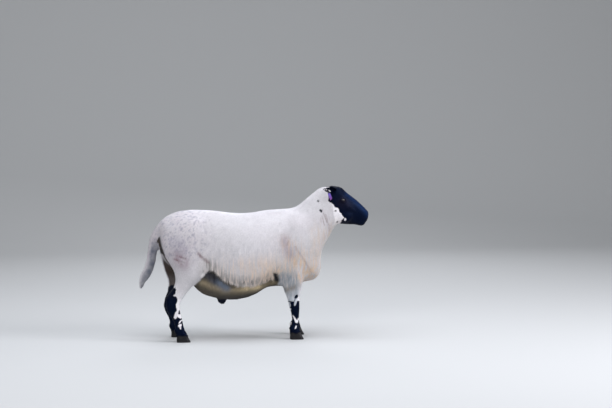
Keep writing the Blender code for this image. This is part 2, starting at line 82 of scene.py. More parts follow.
# Measures that the solids have too.
EYE_CENTRE, EYE_RADIUS = (0.4895, 0.0630, 0.7755), 0.0145
EAR_ROOT = (0.450, 0.042, 0.829)
EAR_AIM = {-1: (-0.60, 0.80, 0.16), 1: (-0.36, 0.92, -0.06)}
EAR_LENGTH, EAR_WIDTH, EAR_THICKNESS = 0.142, 0.050, 0.0045
TAG_HEIGHT, TAG_WIDTH, TAG_THICKNESS = 0.040, 0.030, 0.0016
TAG_NECK, TAG_NECK_HALF, TAG_CORNER = 0.018, 0.0065, 0.004
TAG_PIN, TAG_DROP = (0.48, -0.5), (0.42, 0.18, -1)
NECK_HEAD = ((0.424, 0.858), (0.470, 0.632))    # where the head begins: x, z of two points


# ---------------------------------------------------------------- mathematics on arrays of points

def ramp(value, low, high):
    """0 at low and below, 1 at high and above, smooth between."""
    share = np.clip((value - low) / (high - low), 0, 1)
    return share * share * (3 - 2 * share)


def band(value, low, full, ebb, high):
    """0 below low, 1 from full to ebb, 0 above high, smooth between."""
    return ramp(value, low, full) * (1 - ramp(value, ebb, high))


def bell(value, width, power=2):
    """1 at 0, falling away on both sides over this width."""
    return np.exp(-(value / width) ** power)


def unit(vectors):
    return vectors / np.maximum(np.linalg.norm(vectors, axis=-1, keepdims=True), 1e-12)


def lattice(cells, seed):
    """A number from 0 to 1 for each whole-number cell."""
    h = cells[:, 0] * 374761393 + cells[:, 1] * 668265263 + cells[:, 2] * 1274126177 + seed * 974634777
    h = ((h ^ (h >> 13)) & 0xFFFFFFFF) * 1103515245
    h = h ^ (h >> 16)
    return (h & 0xFFFFFF) / float(0xFFFFFF)


def noise(points, size, seed=0):
    """Smooth noise from -1 to 1 with lumps of this size, which may differ from axis to axis."""
    p = np.asarray(points, float) / size
    base = np.floor(p).astype(np.int64)
    f = p - base
    f = f * f * (3 - 2 * f)
    total = np.zeros(len(p))
    for corner in np.ndindex(2, 2, 2):
        weight = np.prod(np.where(corner, f, 1 - f), axis=1)
        total += weight * lattice(base + np.array(corner), seed)
    return 2 * total - 1


def noise_vectors(points, size, seed):
    return np.stack([noise(points, size, seed + i) for i in range(3)], 1)


def stirred(points, size, amount, seed):
    """The points moved about by noise, so that shapes read there get ragged edges."""
    return points + amount * noise_vectors(points, size, seed)


def distance_to(points, path):
    """Distance of each point to a line through the path's points, and how far along it is, from 0 to 1."""
    path = np.asarray(path, float)
    best = np.full(len(points), 1e9)
    along = np.zeros(len(points))
    for i, (a, b) in enumerate(zip(path, path[1:])):
        run = b - a
        t = np.clip(((points - a) @ run) / (run @ run), 0, 1)
        gap = np.linalg.norm(points - (a + t[:, None] * run), axis=1)
        along = np.where(gap < best, (i + t) / (len(path) - 1), along)
        best = np.minimum(gap, best)
    return best, along


def side_distance(points, path):
    """As distance_to, in side view: the path's points are x, z."""
    flat = np.stack([points[:, 0], np.zeros(len(points)), points[:, 2]], 1)
    return distance_to(flat, [(x, 0, z) for x, z in path])


def blob(points, centre, radii):
    """How far inside an ellipsoid a point is: 1 at its middle, 0 on its surface."""
    return 1 - np.linalg.norm((points - np.array(centre)) / np.array(radii), axis=1)


# ---------------------------------------------------------------- meshes as arrays

def arrays_of(mesh):
    """Points and triangles of a mesh."""
    mesh.calc_loop_triangles()
    points = np.empty(len(mesh.vertices) * 3)
    mesh.vertices.foreach_get("co", points)
    triangles = np.empty(len(mesh.loop_triangles) * 3, np.int32)
    mesh.loop_triangles.foreach_get("vertices", triangles)
    return points.reshape(-1, 3), triangles.reshape(-1, 3).astype(np.int64)


def welded(points, triangles, within=1e-5):
    """Corners at one place made one."""
    keys = np.round(points / within).astype(np.int64)
    _, first, index = np.unique(keys, axis=0, return_index=True, return_inverse=True)
    triangles = index.reshape(-1)[triangles]
    a, b, c = triangles.T
    return points[first], triangles[(a != b) & (b != c) & (c != a)]


def stacked(shapes):
    """Several shapes, each points and triangles, as one."""
    starts = np.cumsum([0] + [len(points) for points, _ in shapes])
    points = np.vstack([points for points, _ in shapes])
    return points, np.vstack([triangles + start for (_, triangles), start in zip(shapes, starts)])


def mesh_of(name, points, triangles):
    """A smooth-shaded mesh from arrays."""
    mesh = bpy.data.meshes.new(name)
    mesh.vertices.add(len(points))
    mesh.vertices.foreach_set("co", np.asarray(points, np.float32).ravel())
    mesh.loops.add(len(triangles) * 3)
    mesh.loops.foreach_set("vertex_index", np.asarray(triangles, np.int32).ravel())
    mesh.polygons.add(len(triangles))
    mesh.polygons.foreach_set("loop_start", np.arange(0, len(triangles) * 3, 3, dtype=np.int32))
    mesh.update(calc_edges=True)
    mesh.shade_smooth()
    return mesh


def mesh_from(bm, name):
    mesh = bpy.data.meshes.new(name)
    bm.to_mesh(mesh)
    bm.free()
    mesh.shade_smooth()
    return mesh


def add_object(name, data):
    made = bpy.data.objects.new(name, data)
    bpy.context.scene.collection.objects.link(made)
    return made


def applied(item):
    """The mesh that the object's modifiers make; the object itself goes."""
    graph = bpy.context.evaluated_depsgraph_get()
    graph.update()
    mesh = bpy.data.meshes.new_from_object(item.evaluated_get(graph))
    bpy.data.objects.remove(item, do_unlink=True)
    return mesh


def edges_between(triangles):
    ends = np.concatenate([triangles[:, [0, 1]], triangles[:, [1, 2]], triangles[:, [2, 0]]])
    return np.unique(np.sort(ends, axis=1), axis=0)


def corners_of(points, triangles):
    """The triangles' first, second and third corners."""
    return (points[triangles[:, i]] for i in range(3))


def normals_of(points, triangles):
    a, b, c = corners_of(points, triangles)
    across = np.cross(b - a, c - a)
    total = np.zeros_like(points)
    for i in range(3):
        for axis in range(3):
            total[:, axis] += np.bincount(triangles[:, i], across[:, axis], len(points))
    return unit(total)


def relax(points, edges, rounds, weight=None, inward=0.5, outward=-0.53):
    """Smooths without shrinking: each round draws the points together, then lets them out again."""
    count = np.maximum(np.bincount(edges.ravel(), minlength=len(points)), 1)[:, None]
    weight = 1 if weight is None else weight[:, None]
    for step in range(2 * rounds):
        total = np.empty_like(points)
        for axis in range(3):
            total[:, axis] = (np.bincount(edges[:, 0], points[edges[:, 1], axis], len(points))
                              + np.bincount(edges[:, 1], points[edges[:, 0], axis], len(points)))
        points = points + (total / count - points) * ((inward, outward)[step % 2] * weight)
    return points


def largest_shell(points, triangles):
    """Only the connected surface with the most points."""
    edges = edges_between(triangles)
    label = np.arange(len(points))
    while True:
        lower = np.minimum(label[edges[:, 0]], label[edges[:, 1]])
        after = label.copy()
        np.minimum.at(after, edges[:, 0], lower)
        np.minimum.at(after, edges[:, 1], lower)
        after = after[after]
        if (after == label).all():
            break
        label = after
    main = label == np.bincount(label).argmax()
    place = np.cumsum(main) - 1
    return points[main], place[triangles[main[triangles[:, 0]]]]


def refined(points, triangles, chosen):
    """Each triangle with three chosen corners becomes four, and its neighbours are split to match."""
    count = len(points)
    ends = edges_between(triangles)
    ends = ends[chosen[ends].all(1)]
    keys = ends[:, 0] * count + ends[:, 1]
    middles = points[ends].mean(1)

    def middle_of(first, second):
        key = np.minimum(first, second) * count + np.maximum(first, second)
        return count + np.searchsorted(keys, key)

    picked = chosen[triangles].sum(1)
    a, b, c = triangles[picked == 3].T
    ab, bc, ca = middle_of(a, b), middle_of(b, c), middle_of(c, a)
    four = [np.stack(corners, 1) for corners in ((a, ab, ca), (ab, b, bc), (ca, bc, c), (ab, bc, ca))]
    halves = []
    beside = triangles[picked == 2]
    for turn in range(3):
        a, b, c = np.roll(beside, turn, axis=1).T
        here = chosen[a] & chosen[b]
        a, b, c = a[here], b[here], c[here]
        ab = middle_of(a, b)
        halves += [np.stack((a, ab, c), 1), np.stack((ab, b, c), 1)]
    return np.vstack([points, middles]), np.vstack([triangles[picked < 2], *four, *halves])


def pick_points(points, triangles, density, count, rng):
    """Evenly spread places on a surface: the triangle and the three corner weights of each."""
    a, b, c = corners_of(points, triangles)
    area = np.linalg.norm(np.cross(b - a, c - a), axis=1) / 2 * density[triangles].mean(1)
    total = np.cumsum(area)
    at = (np.arange(count) + rng.random(count)) / count * total[-1]
    picked = np.minimum(np.searchsorted(total, at), len(triangles) - 1)
    u, v = rng.random(count), rng.random(count)
    over = u + v > 1
    u, v = np.where(over, 1 - u, u), np.where(over, 1 - v, v)
    return picked, np.stack([1 - u - v, u, v], 1)


# ---------------------------------------------------------------- where things lie on the animal

def on(region, start):
    """Where the name of a place's node begins so."""
    return np.char.startswith(region, start)


def on_leg(region):
    return on(region, "hind") | on(region, "fore")


def headness(points):
    """How far in front of the neck's end a point is, in metres."""
    (ax, az), (bx, bz) = NECK_HEAD
    length = math.hypot(bx - ax, bz - az)
    return ((points[:, 0] - ax) * (az - bz) + (points[:, 2] - az) * (bx - ax)) / length


def mirrored(place, side):
    x, y, z = place
    return np.array((x, side * y, z))


SLIT_TILT = math.radians(22)
EYE_HALF_LENGTH, UPPER_LID, LOWER_LID, LID_THICKNESS = 0.0122, 0.0080, 0.0062, 0.0022


def eye_frame(side):
    """The eye's centre, and its slit's direction, the way up its lids open and the way it looks."""
    look = Vector((0.30, side * 0.93, 0.10)).normalized()
    slit = Vector((math.cos(SLIT_TILT), 0, -math.sin(SLIT_TILT)))
    slit = (slit - look * slit.dot(look)).normalized()
    up = slit.cross(look) * -side
    if up.z < 0:
        up = -up
    return mirrored(EYE_CENTRE, side), np.array(slit), np.array(up), np.array(look)


def in_eye_frame(points, side):
    """Places along the slit, up across it and out of the head, from the eye's centre."""
    centre, slit, up, look = eye_frame(side)
    from_centre = points - centre
    return from_centre @ slit, from_centre @ up, from_centre @ look


def eye_opening(points, side):
    """How far inside the gap between the lids a point is, in metres. Below 0 is on the lids."""
    along, up, out = in_eye_frame(points, side)
    share = 1 - np.clip((along / EYE_HALF_LENGTH) ** 2, 0, 4)
    bow = np.sign(share) * np.abs(share) ** 0.75
    room = np.minimum(UPPER_LID * bow - up, up + LOWER_LID * bow)
    return np.where(out > 0, room, -0.05)


NOSTRIL = ((0.647, 0.008, 0.684), (0.644, 0.015, 0.696), (0.633, 0.0235, 0.707), (0.623, 0.029, 0.706))
MOUTH = ((0.6420, 0.0, 0.6530), (0.6330, 0.018, 0.6520), (0.6120, 0.030, 0.6510), (0.5820, 0.038, 0.6590))
PHILTRUM = ((0.6540, 0.0, 0.6900), (0.6500, 0.0, 0.6680), (0.6440, 0.0, 0.6560))


def on_side(path, side):
    return [(x, side * y, z) for x, y, z in path]


def belly_line(x):
    """The height of the fleece's lower edge on the flank."""
    return np.interp(x, (-0.28, -0.245, -0.19, -0.12, -0.01, 0.06, 0.105, 0.14, 0.20),
                     (0.42, 0.403, 0.350, 0.322, 0.322, 0.345, 0.362, 0.345, 0.33))


def belly(points, region):
    """1 on the belly's smooth skin, 0 in the fleece."""
    x, y, z = points.T
    behind_elbow = x < np.interp(z, (0.275, 0.307, 0.345, 0.400), (0.144, 0.136, 0.123, 0.094))
    behind_elbow = behind_elbow | ~on(region, "fore")
    before_thigh = x - np.interp(z, (0.24, 0.335, 0.385, 0.41, 0.44), (-0.41, -0.338, -0.300, -0.272, -0.250))
    groin = np.maximum(ramp(before_thigh, -0.006, 0.010), ramp(0.05 - np.abs(y), 0, 0.02) * (x > -0.42))
    low = ramp(belly_line(x) - z, -0.003, 0.008) * (region != "tail")
    between_legs = 1 - np.where(np.abs(y) < 0.075, ramp(x, 0.18, 0.24), ramp(x, 0.110, 0.125))
    return behind_elbow * low * groin * between_legs * (z > 0.19)


def coat_depth(points, region):
    """How far the tips of the coat stand off the skin."""
    wool = 1 - ramp(headness(points), -0.022, 0.012) * (points[:, 2] > ABOVE_LEGS)
    wool = wool * np.where(on_leg(region), ramp(points[:, 2], WOOL_END, 0.36), 1) * ~on(region, "ear")
    depth = HAIR_DEPTH + (WOOL_DEPTH - HAIR_DEPTH) * wool
    smooth = np.maximum(belly(points, region), np.isin(region, ("prepuce", "scrotum")))
    return depth + (BELLY_DEPTH - depth) * smooth * (wool > 0.5)


class Regions:
    """Tells which CAD node each place is nearest to."""

    def __init__(self, names):
        shapes = [arrays_of(NODES[name].data) for name in names]
        self.owner = np.repeat(names, [len(triangles) for _, triangles in shapes])
        points, triangles = stacked(shapes)
        self.tree = BVHTree.FromPolygons(points.tolist(), triangles.tolist())

    def of(self, points):
        return self.owner[[self.tree.find_nearest(point)[2] for point in points.tolist()]]


# ---------------------------------------------------------------- the skin's shape

def fused(names, amount, grain):
    """These solids as one shell of even grain, each let out a little so that the gaps between them close."""
    shapes = [welded(*arrays_of(NODES[name].data)) for name in names]
    shapes = [(points + normals_of(points, triangles) * amount, triangles) for points, triangles in shapes]
    item = add_object("rough", mesh_of("rough", *stacked(shapes)))
    fuse = item.modifiers.new("Fuse", "REMESH")
    fuse.mode = "VOXEL"
    fuse.voxel_size = grain
    return arrays_of(applied(item))


def fused_flesh():
    """The skin before its folds: the solids' outline, smooth, finest at the face."""
    flesh = [name for name in FLESH if name not in EARS] + ["eye_right", "eye_left"]
    points, triangles = largest_shell(*fused(flesh, GAP_CLOSER, SKIN_GRAIN))
    edges = edges_between(triangles)
    points = relax(points, edges, ALL_ROUNDS)
    slender = np.maximum.reduce([ramp(headness(points), -0.03, 0.02) * (points[:, 2] > ABOVE_LEGS),
                                 1 - ramp(points[:, 2], 0.24, 0.36), 1 - ramp(points[:, 0], -0.59, -0.55)])
    points = relax(points, edges, BODY_ROUNDS, 1 - 0.85 * slender)
    points = relax(points, edges, TRUNK_ROUNDS, 1 - slender, 0.5, 0.5)
    for level in range(3):
        chosen = finer_where(points, level)
        points, triangles = refined(points, triangles, chosen)
        edges = edges_between(triangles)
        points = relax(points, edges, 3, finer_where(points, level).astype(float))
    return points, triangles


def finer_where(points, level):
    """Where the mesh is halved once, twice and three times."""
    z = points[:, 2]
    if level == 0:
        return ((headness(points) > -0.02) & (z > 0.58)) | (z < 0.31)
    near = np.full(len(points), 9.0)
    for side in SIDES:
        centre = eye_frame(side)[0]
        near = np.minimum(near, np.linalg.norm(points - centre, axis=1) - (0.030, 0.023)[level - 1])
        for path, reach in ((NOSTRIL, 0.010), (MOUTH, 0.008)):
            near = np.minimum(near, distance_to(points, on_side(path, side))[0] - reach)
    if level == 1:
        return ((headness(points) > 0.0) & (z > 0.60)) | (near < 0)
    return near < 0


def ear_axes(side):
    """Along the ear, across its blade, and out of its hollow."""
    along = Vector(mirrored(EAR_AIM[side], side)).normalized()
    hollow = Vector((0.62, side * 0.22, -0.75))
    hollow = (hollow - along * hollow.dot(along)).normalized()
    return np.array(along), np.array(along.cross(hollow)), np.array(hollow)


def ear_points(side, s, angle, inset):
    """Points on the blade: s along it, angle round its hollow, inset into its thickness."""
    along, across, hollow = ear_axes(side)
    swell = 0.55 + 0.45 * np.sin(math.pi * np.clip(s / 0.9, 0, 1))
    width = EAR_WIDTH * swell * np.sqrt(np.maximum(1 - np.maximum(s, 0) ** 3.2, 0.012))
    curl = np.radians(150 - 80 * s)
    radius = width / (2 * np.sin(curl / 2))
    turn = angle * curl / 2
    reach = radius - inset
    out = along * (EAR_LENGTH * s)[:, None] + across * (reach * np.sin(turn))[:, None]
    out = out + hollow * (radius * 0.5 - reach * np.cos(turn))[:, None]
    out[:, 2] -= 0.008 * s * s
    return mirrored(EAR_ROOT, side) + out


def ear_shape(side):
    """One ear as a closed shell with a rounded rim and ridges in its hollow."""
    rows, n = 64, 80
    turn = np.linspace(0, 2 * math.pi, n, endpoint=False)
    angle = np.cos(turn) * 0.97
    flat = np.sin(turn)                         # above 0 on the back of the ear, below it in the hollow
    body = np.sign(flat) * np.minimum(np.abs(flat) * 2.2, 1)
    grid = []
    for place in np.linspace(-0.10, 0.985, rows):
        thick = EAR_THICKNESS * (1.3 - 0.75 * place) - HAIR_DEPTH
        ridges = 0.0007 * np.cos(angle * 9.0) * (flat < -0.3) * math.exp(-((place - 0.25) / 0.28) ** 2)
        inset = HAIR_DEPTH * 0.5 + thick / 2 * (1 - body) + ridges
        grid.append(ear_points(side, np.full(n, place), angle, inset))
    points = np.vstack(grid)
    here = np.arange(n)
    after = (here + 1) % n
    triangles = []
    for start in range(0, (rows - 1) * n, n):
        a, b = start + here, start + after
        triangles += [np.stack((a, b, b + n), 1), np.stack((a, b + n, a + n), 1)]
    for start, way in ((0, -1), ((rows - 1) * n, 1)):
        centre = len(points)
        points = np.vstack([points, points[start:start + n].mean(0)])
        triangles.append(np.stack((start + here, start + after, np.full(n, centre)), 1)[:, ::way])
    triangles = np.vstack(triangles)
    if volume_of(points, triangles) < 0:
        triangles = triangles[:, ::-1]
    return points, triangles


def volume_of(points, triangles):
    a, b, c = corners_of(points, triangles)
    return np.einsum("ij,ij->i", a, np.cross(b, c)).sum() / 6


def united(first, second):
    """Two closed shapes, each points and triangles, as one surface."""
    item = add_object("first", mesh_of("first", *first))
    other = add_object("second", mesh_of("second", *second))
    join = item.modifiers.new("Join", "BOOLEAN")
    join.operation = "UNION"
    join.solver = "MANIFOLD"
    join.object = other
    mesh = applied(item)
    bpy.data.objects.remove(other, do_unlink=True)
    return welded(*arrays_of(mesh), 1e-6)


def shaped_eyelids(points, side):
    """The skin round one eye drawn over the ball as lids, with the gap between them sunk behind the ball."""
    centre, slit, up_axis, look = eye_frame(side)
    along, up, out = in_eye_frame(points, side)
    around = np.hypot(along, up)
    near = (around < 0.026) & (out > -0.010) & (points[:, 1] * side > 0)
    gap = eye_opening(points, side)
    lid = EYE_RADIUS + LID_THICKNESS + 0.0009 * bell(gap + 0.0012, 0.0011)
    over_ball = np.sqrt(np.maximum(lid ** 2 - np.minimum(around, 0.0155) ** 2, 0))
    height = out + (over_ball - out) * (1 - ramp(around, 0.0105, 0.0195))
    crease = bell(up - 0.0105 + 0.35 * along ** 2 / 0.012, 0.0014) * (1 - ramp(np.abs(along), 0.008, 0.014))
    height = height - 0.0022 * crease
    under = bell(up + 0.0100 - 0.30 * along ** 2 / 0.012, 0.0016) * (1 - ramp(np.abs(along), 0.007, 0.013))
    height = height - 0.0012 * under
    behind_ball = np.sqrt(np.maximum((EYE_RADIUS - LID_THICKNESS) ** 2 - np.minimum(around, 0.0120) ** 2, 0))
    height = height + (behind_ball - 0.0008 - height) * ramp(gap, -0.0003, 0.0005)
    height = height - 0.0022 * bell(along - 0.0165, 0.0045) * bell(up + 0.0005, 0.0022)       # tear duct
    moved = centre + along[:, None] * slit + up[:, None] * up_axis + height[:, None] * look
    share = (near * (1 - ramp(around, 0.020, 0.026)))[:, None]
    return points + (moved - points) * share


def furrowed(points, normals, gap, fade, depth, width, lips, lips_at):
    """Moves points in near a path, and out a little at so many widths beside it."""
    profile = bell(gap, width) - lips * bell(gap - lips_at * width, width)
    return points - normals * (depth * profile * fade)[:, None]


def groove(points, normals, path, depth, width, lips):
    """A furrow of the face, shallow at its ends."""
    gap, along = distance_to(points, path)
    fade = 0.15 + 0.85 * band(along, 0, 0.12, 0.88, 1)
    return furrowed(points, normals, gap, fade, depth, width, lips, 1.9)


def side_fold(points, normals, side, path, depth, width, lips):
    """A fold in one side, drawn on the side view. It fades out at its ends."""
    gap, along = side_distance(points, path)
    fade = band(along, 0, 0.3, 0.7, 1) * ramp(normals[:, 1] * side, 0.05, 0.45)
    return furrowed(points, normals, gap, fade, depth, width, lips, 2)


FOLD_LIPS = 0.15        # how far a fold's edges stand out, in its depths
FAR_FOLD_SHIFT = (-0.012, 0.006)        # the left side's folds lie a little differently
THIGH_UPPER = ((-0.452, 0.486), (-0.430, 0.479), (-0.404, 0.470))
THIGH_LOWER = ((-0.466, 0.469), (-0.440, 0.458), (-0.410, 0.450))
BODY_FOLDS = (          # path in side view, depth, width
    (((-0.345, 0.505), (-0.314, 0.476), (-0.276, 0.446)), 0.0016, 0.011),       # flank
    (THIGH_UPPER, 0.0022, 0.005),
    (THIGH_LOWER, 0.0022, 0.005),
)
PITS = (                # before the thigh, and the armpit
    (((-0.326, 0.400), (-0.282, 0.380), (-0.230, 0.346)), 0.010, 0.016),
    (((0.082, 0.408), (0.100, 0.364), (0.110, 0.326)), 0.018, 0.012),
)
CHEEK_BONE = ((0.500, 0.060, 0.752), (0.530, 0.055, 0.735), (0.572, 0.043, 0.708))
TEAR_PIT = ((0.516, 0.060, 0.752), (0.535, 0.053, 0.740))
FACE_GROOVES = (        # path, depth, width, lips
    (NOSTRIL, 0.0065, 0.0028, 0.28),
    (MOUTH, 0.0030, 0.0018, 0.35),
    (CHEEK_BONE, -0.0022, 0.007, 0),
    (TEAR_PIT, 0.0030, 0.0050, 0.2),
)


def sculpted(points, triangles):
    """The skin with its folds, lids, nostrils and mouth."""
    folds = [(side, path + np.array(FAR_FOLD_SHIFT) * (side > 0), depth, width, FOLD_LIPS)
             for path, depth, width in BODY_FOLDS for side in SIDES]
    folds += [(side, path, depth, width, 0) for path, depth, width in PITS for side in SIDES]
    for side, path, depth, width, lips in folds:
        points = side_fold(points, normals_of(points, triangles), side, path, depth, width, lips)
    # The cleft between the thighs, below the tail.
    normals, (x, y, z) = normals_of(points, triangles), points.T
    rear = ramp(-normals[:, 0], 0.2, 0.6) * band(z, 0.36, 0.42, 0.52, 0.56) * (x < -0.40) * (x > -0.56)
    points = points - normals * (0.014 * bell(y, 0.022) * rear)[:, None]
    for side in SIDES:
        points = shaped_eyelids(points, side)
        normals = normals_of(points, triangles)
        for path, depth, width, lips in FACE_GROOVES:
            points = groove(points, normals, on_side(path, side), depth, width, lips)
    return groove(points, normals_of(points, triangles), PHILTRUM, 0.0022, 0.0018, 0.3)


def make_skin_arrays():
    points, triangles = fused_flesh()
    regions = Regions(FLESH)
    region = regions.of(points)
    points = points - normals_of(points, triangles) * coat_depth(points, region)[:, None]
    for side in SIDES:
        points, triangles = united((points, triangles), ear_shape(side))
    region = regions.of(points)
    points = blended_ear_roots(points, triangles)
    points = sculpted(points, triangles)
    return points, triangles, region


def blended_ear_roots(points, triangles):
    """The join between ear and head made soft."""
    edges = edges_between(triangles)
    near = np.zeros(len(points))
    for side in SIDES:
        along = ear_axes(side)[0]
        off = points - mirrored(EAR_ROOT, side)
        reach = off @ along
        away = np.linalg.norm(off - reach[:, None] * along, axis=1)
        here = (1 - ramp(np.abs(reach - 0.012), 0.008, 0.022)) * (1 - ramp(away, 0.026, 0.036))
        near = np.maximum(near, here)
    return relax(points, edges, 8, near, outward=-0.3)


# ---------------------------------------------------------------- markings

FLEECE_TOP = np.array((0.83, 0.80, 0.815))
FLEECE_PINK = np.array((0.66, 0.56, 0.60))
FLEECE_TAN = np.array((0.74, 0.54, 0.36))
# Brownish grey: painted shade along the fleece's lower edge.
HEM_SHADE = np.array((0.23, 0.195, 0.150))
# Grey: the leg wool's own grey, with painted shade back from the lit front edge.
LEG_GREY_AND_SHADE = np.array((0.41, 0.435, 0.47))
LEG_TAN = np.array((0.26, 0.215, 0.17))
# Blue-grey: painted shade on the tail's lower front.
TAIL_SHADE = np.array((0.20, 0.21, 0.255))
BELLY_SKIN = np.array((0.070, 0.056, 0.033))
# Golden brown: painted sheen along the belly's middle.
BELLY_SHEEN_GOLD = np.array((0.220, 0.175, 0.105))
# Bluish grey: painted shade under the fleece's edge.
BELLY_BLUE_SHADE = np.array((0.110, 0.140, 0.195))
# Near black: painted shadow deep in the pits and in the crease beside the tail.
PIT_SHADOW = np.array((0.012, 0.012, 0.016))
# Dusky brown: bare inner skin, darkened as painted shade between the legs.
INNER_SKIN_AND_SHADE = np.array((0.060, 0.038, 0.026))
# Grey-lavender: skin showing through the shorn wool, and painted blue-grey shade on the thigh.
SHORN_GREY_AND_SHADE = np.array((0.31, 0.300, 0.405))
# Pink-grey: painted shade over the thigh and in the shoulder's crease.
PINK_SHADE = np.array((0.39, 0.29, 0.34))
WRINKLE_SHADE = np.array((0.26, 0.15, 0.15))
# Thin lines of painted shade in the folds, in side view: the path, its half width and how strong it is.
WRINKLE_SHADES = (
    (((-0.335, 0.498), (-0.314, 0.476), (-0.281, 0.450)), 0.009, 0.50),
    (THIGH_UPPER, 0.0036, 0.60),
    (THIGH_LOWER, 0.0036, 0.55),
    (((-0.446, 0.450), (-0.425, 0.442)), 0.0035, 0.50),
    (((0.380, 0.706), (0.391, 0.680), (0.400, 0.654)), 0.0024, 0.60),
    (((0.372, 0.690), (0.377, 0.664), (0.384, 0.640)), 0.0024, 0.50),
    (((0.392, 0.700), (0.401, 0.672), (0.407, 0.642)), 0.0022, 0.50),
    (((0.362, 0.682), (0.366, 0.655)), 0.0024, 0.35),
    (((0.412, 0.640), (0.416, 0.612)), 0.0070, 0.30),
    (((0.208, 0.526), (0.261, 0.449), (0.309, 0.372)), 0.0060, 0.25),
    (((0.171, 0.557), (0.159, 0.534)), 0.0035, 0.35),
)
BLACK_HAIR = np.array((0.0010, 0.0022, 0.0100))
# Painted blue reflection on the bridge of the nose.
BRIDGE_BLUE_REFLECTION = np.array((0.006, 0.018, 0.062))
BROWN_BLACK = np.array((0.0100, 0.0070, 0.0130))
GREY_HAIR = np.array((0.16, 0.15, 0.15))
# Where the painted sheen runs along the belly.
BELLY_SHEEN_PATH = ((-0.313, 0.333), (-0.265, 0.312), (-0.197, 0.290), (-0.10, 0.300), (0.00, 0.310))
BRIDGE_PATH = ((0.520, 0.808), (0.570, 0.770), (0.620, 0.722), (0.646, 0.686))
CREASE_SHADOW_PATH = ((-0.539, 0.578), (-0.532, 0.535), (-0.516, 0.487))

# Where black begins behind the face, from throat to poll.
HEAD_LINE_Z = (0.60, 0.645, 0.661, 0.670, 0.677, 0.685, 0.701, 0.708, 0.7245, 0.7317, 0.7374, 0.7536, 0.760,
               0.765, 0.775, 0.790, 0.830, 0.900)
HEAD_LINE_X = (0.505, 0.487, 0.486, 0.493, 0.499, 0.491, 0.484, 0.473, 0.4685, 0.463, 0.444, 0.434, 0.428,
               0.413, 0.408, 0.411, 0.408, 0.412)

# Spots in side view: x, z, half width, half height, lean forward with height.
NECK_BLACK = {-1: ((0.364, 0.718, 0.0080, 0.0105, -0.3), (0.353, 0.771, 0.0062, 0.0062, 0)),
              1: ((0.372, 0.742, 0.0080, 0.0065, 0), (0.391, 0.684, 0.0055, 0.0065, 0))}
FACE_GREY = {-1: ((0.4500, 0.7157, 0.0065, 0.0065, 0), (0.462, 0.651, 0.0060, 0.0060, 0)), 1: ()}
FACE_WHITE = {-1: ((0.5055, 0.6664, 0.0062, 0.0085, -0.1),), 1: ()}
FORE_BLACK = ((0.2177, 0.2427, 0.0105, 0.0140, 0.3), (0.2110, 0.2200, 0.0060, 0.0060, 0))
FORE_WHITE = ((0.2125, 0.2080, 0.0085, 0.0170, 0.2), (0.1800, 0.1960, 0.0075, 0.0160, -0.1),
              (0.1840, 0.1700, 0.0050, 0.0080, 0), (0.2105, 0.1170, 0.0065, 0.0220, -0.5),
              (0.2210, 0.1020, 0.0105, 0.0110, -0.2), (0.2310, 0.1120, 0.0048, 0.0130, 0.5),
              (0.2150, 0.0700, 0.0042, 0.0120, 0.2))
HIND_BLACK = ((-0.4357, 0.1690, 0.0105, 0.0122, 0.2),)
HIND_WHITE = ((-0.4610, 0.1430, 0.0088, 0.0105, 0), (-0.4360, 0.1430, 0.0140, 0.0075, -0.4),
              (-0.4325, 0.1160, 0.0048, 0.0110, 0.8), (-0.4350, 0.0950, 0.0100, 0.0095, 0.4),
              (-0.4330, 0.0850, 0.0045, 0.0125, -0.2))
HIND_EDGE_Z = (0.138, 0.143, 0.148, 0.152, 0.161, 0.171, 0.183, 0.196, 0.213, 0.226, 0.247, 0.256, 0.266,
               0.276, 0.298, 0.306, 0.312)
HIND_EDGE_X = (-0.39, -0.445, -0.464, -0.470, -0.464, -0.4585, -0.4521, -0.4563, -0.4583, -0.4519, -0.4497,
               -0.4538, -0.473, -0.4622, -0.4557, -0.460, -0.56)


def ovals(points, spots):
    """How far inside the nearest of these spots a point is, in side view: above 0 is inside."""
    best = np.full(len(points), -9.0)
    for x, z, wide, high, lean in spots:
        across, up = points[:, 0] - x, points[:, 2] - z
        best = np.maximum(best, 1 - np.hypot((across - lean * up) / wide, up / high))
    return best


def face_spots(points, spots, fade):
    """1 in the spots of each side of the head and neck."""
    right = points[:, 1] < 0
    found = np.where(right, ovals(points, spots[-1]), ovals(points, spots[1]))
    return ramp(found, -fade, fade) * (np.abs(points[:, 1]) > 0.025)


def blackness(points, region):
    """1 in the black markings, 0 in the white ones."""
    right = points[:, 1] < 0
    loose = stirred(stirred(points, 0.014, 0.0042, 11), 0.005, 0.0022, 21)
    close = stirred(points, 0.006, 0.0014, 21)
    head = np.isin(region, ("head", "muzzle", "neck"))

    # The head: black in front of a ragged line behind the eye and down the cheek.
    ragged = np.where(right[:, None], close, loose)
    line = np.interp(ragged[:, 2], HEAD_LINE_Z, HEAD_LINE_X) - 0.012 * noise(points, 0.034, 31) * ~right
    dark = np.where(head, ramp(ragged[:, 0] - line, -0.0010, 0.0010), 0)
    dark = np.where(head, np.maximum(dark, face_spots(close, NECK_BLACK, 0.10)), dark)
    dark = np.where(on(region, "ear"), 1 - ear_white(stirred(points, 0.008, 0.0016, 23)), dark)

    # The right legs, and the left ones after the same plan, moved about more.
    for name, black in (("fore", foreleg_black), ("hind", hind_leg_black)):
        leg = on(region, name)
        far = stirred(loose, 0.032, 0.014, 77) + np.array((-0.008, 0, 0.014))
        dark = np.where(leg, np.where(right, black(stirred(close, 0.012, 0.0024, 33)), black(far)), dark)

    # The prepuce is dark, and its skin a little way up.
    low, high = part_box("prepuce")
    centre = (low + high) / 2
    sheath = blob(loose, (centre.x + 0.004, 0, centre.z - 0.012), (0.040, 0.034, 0.036))
    return np.maximum(dark, 0.9 * ramp(sheath, 0, 0.25))


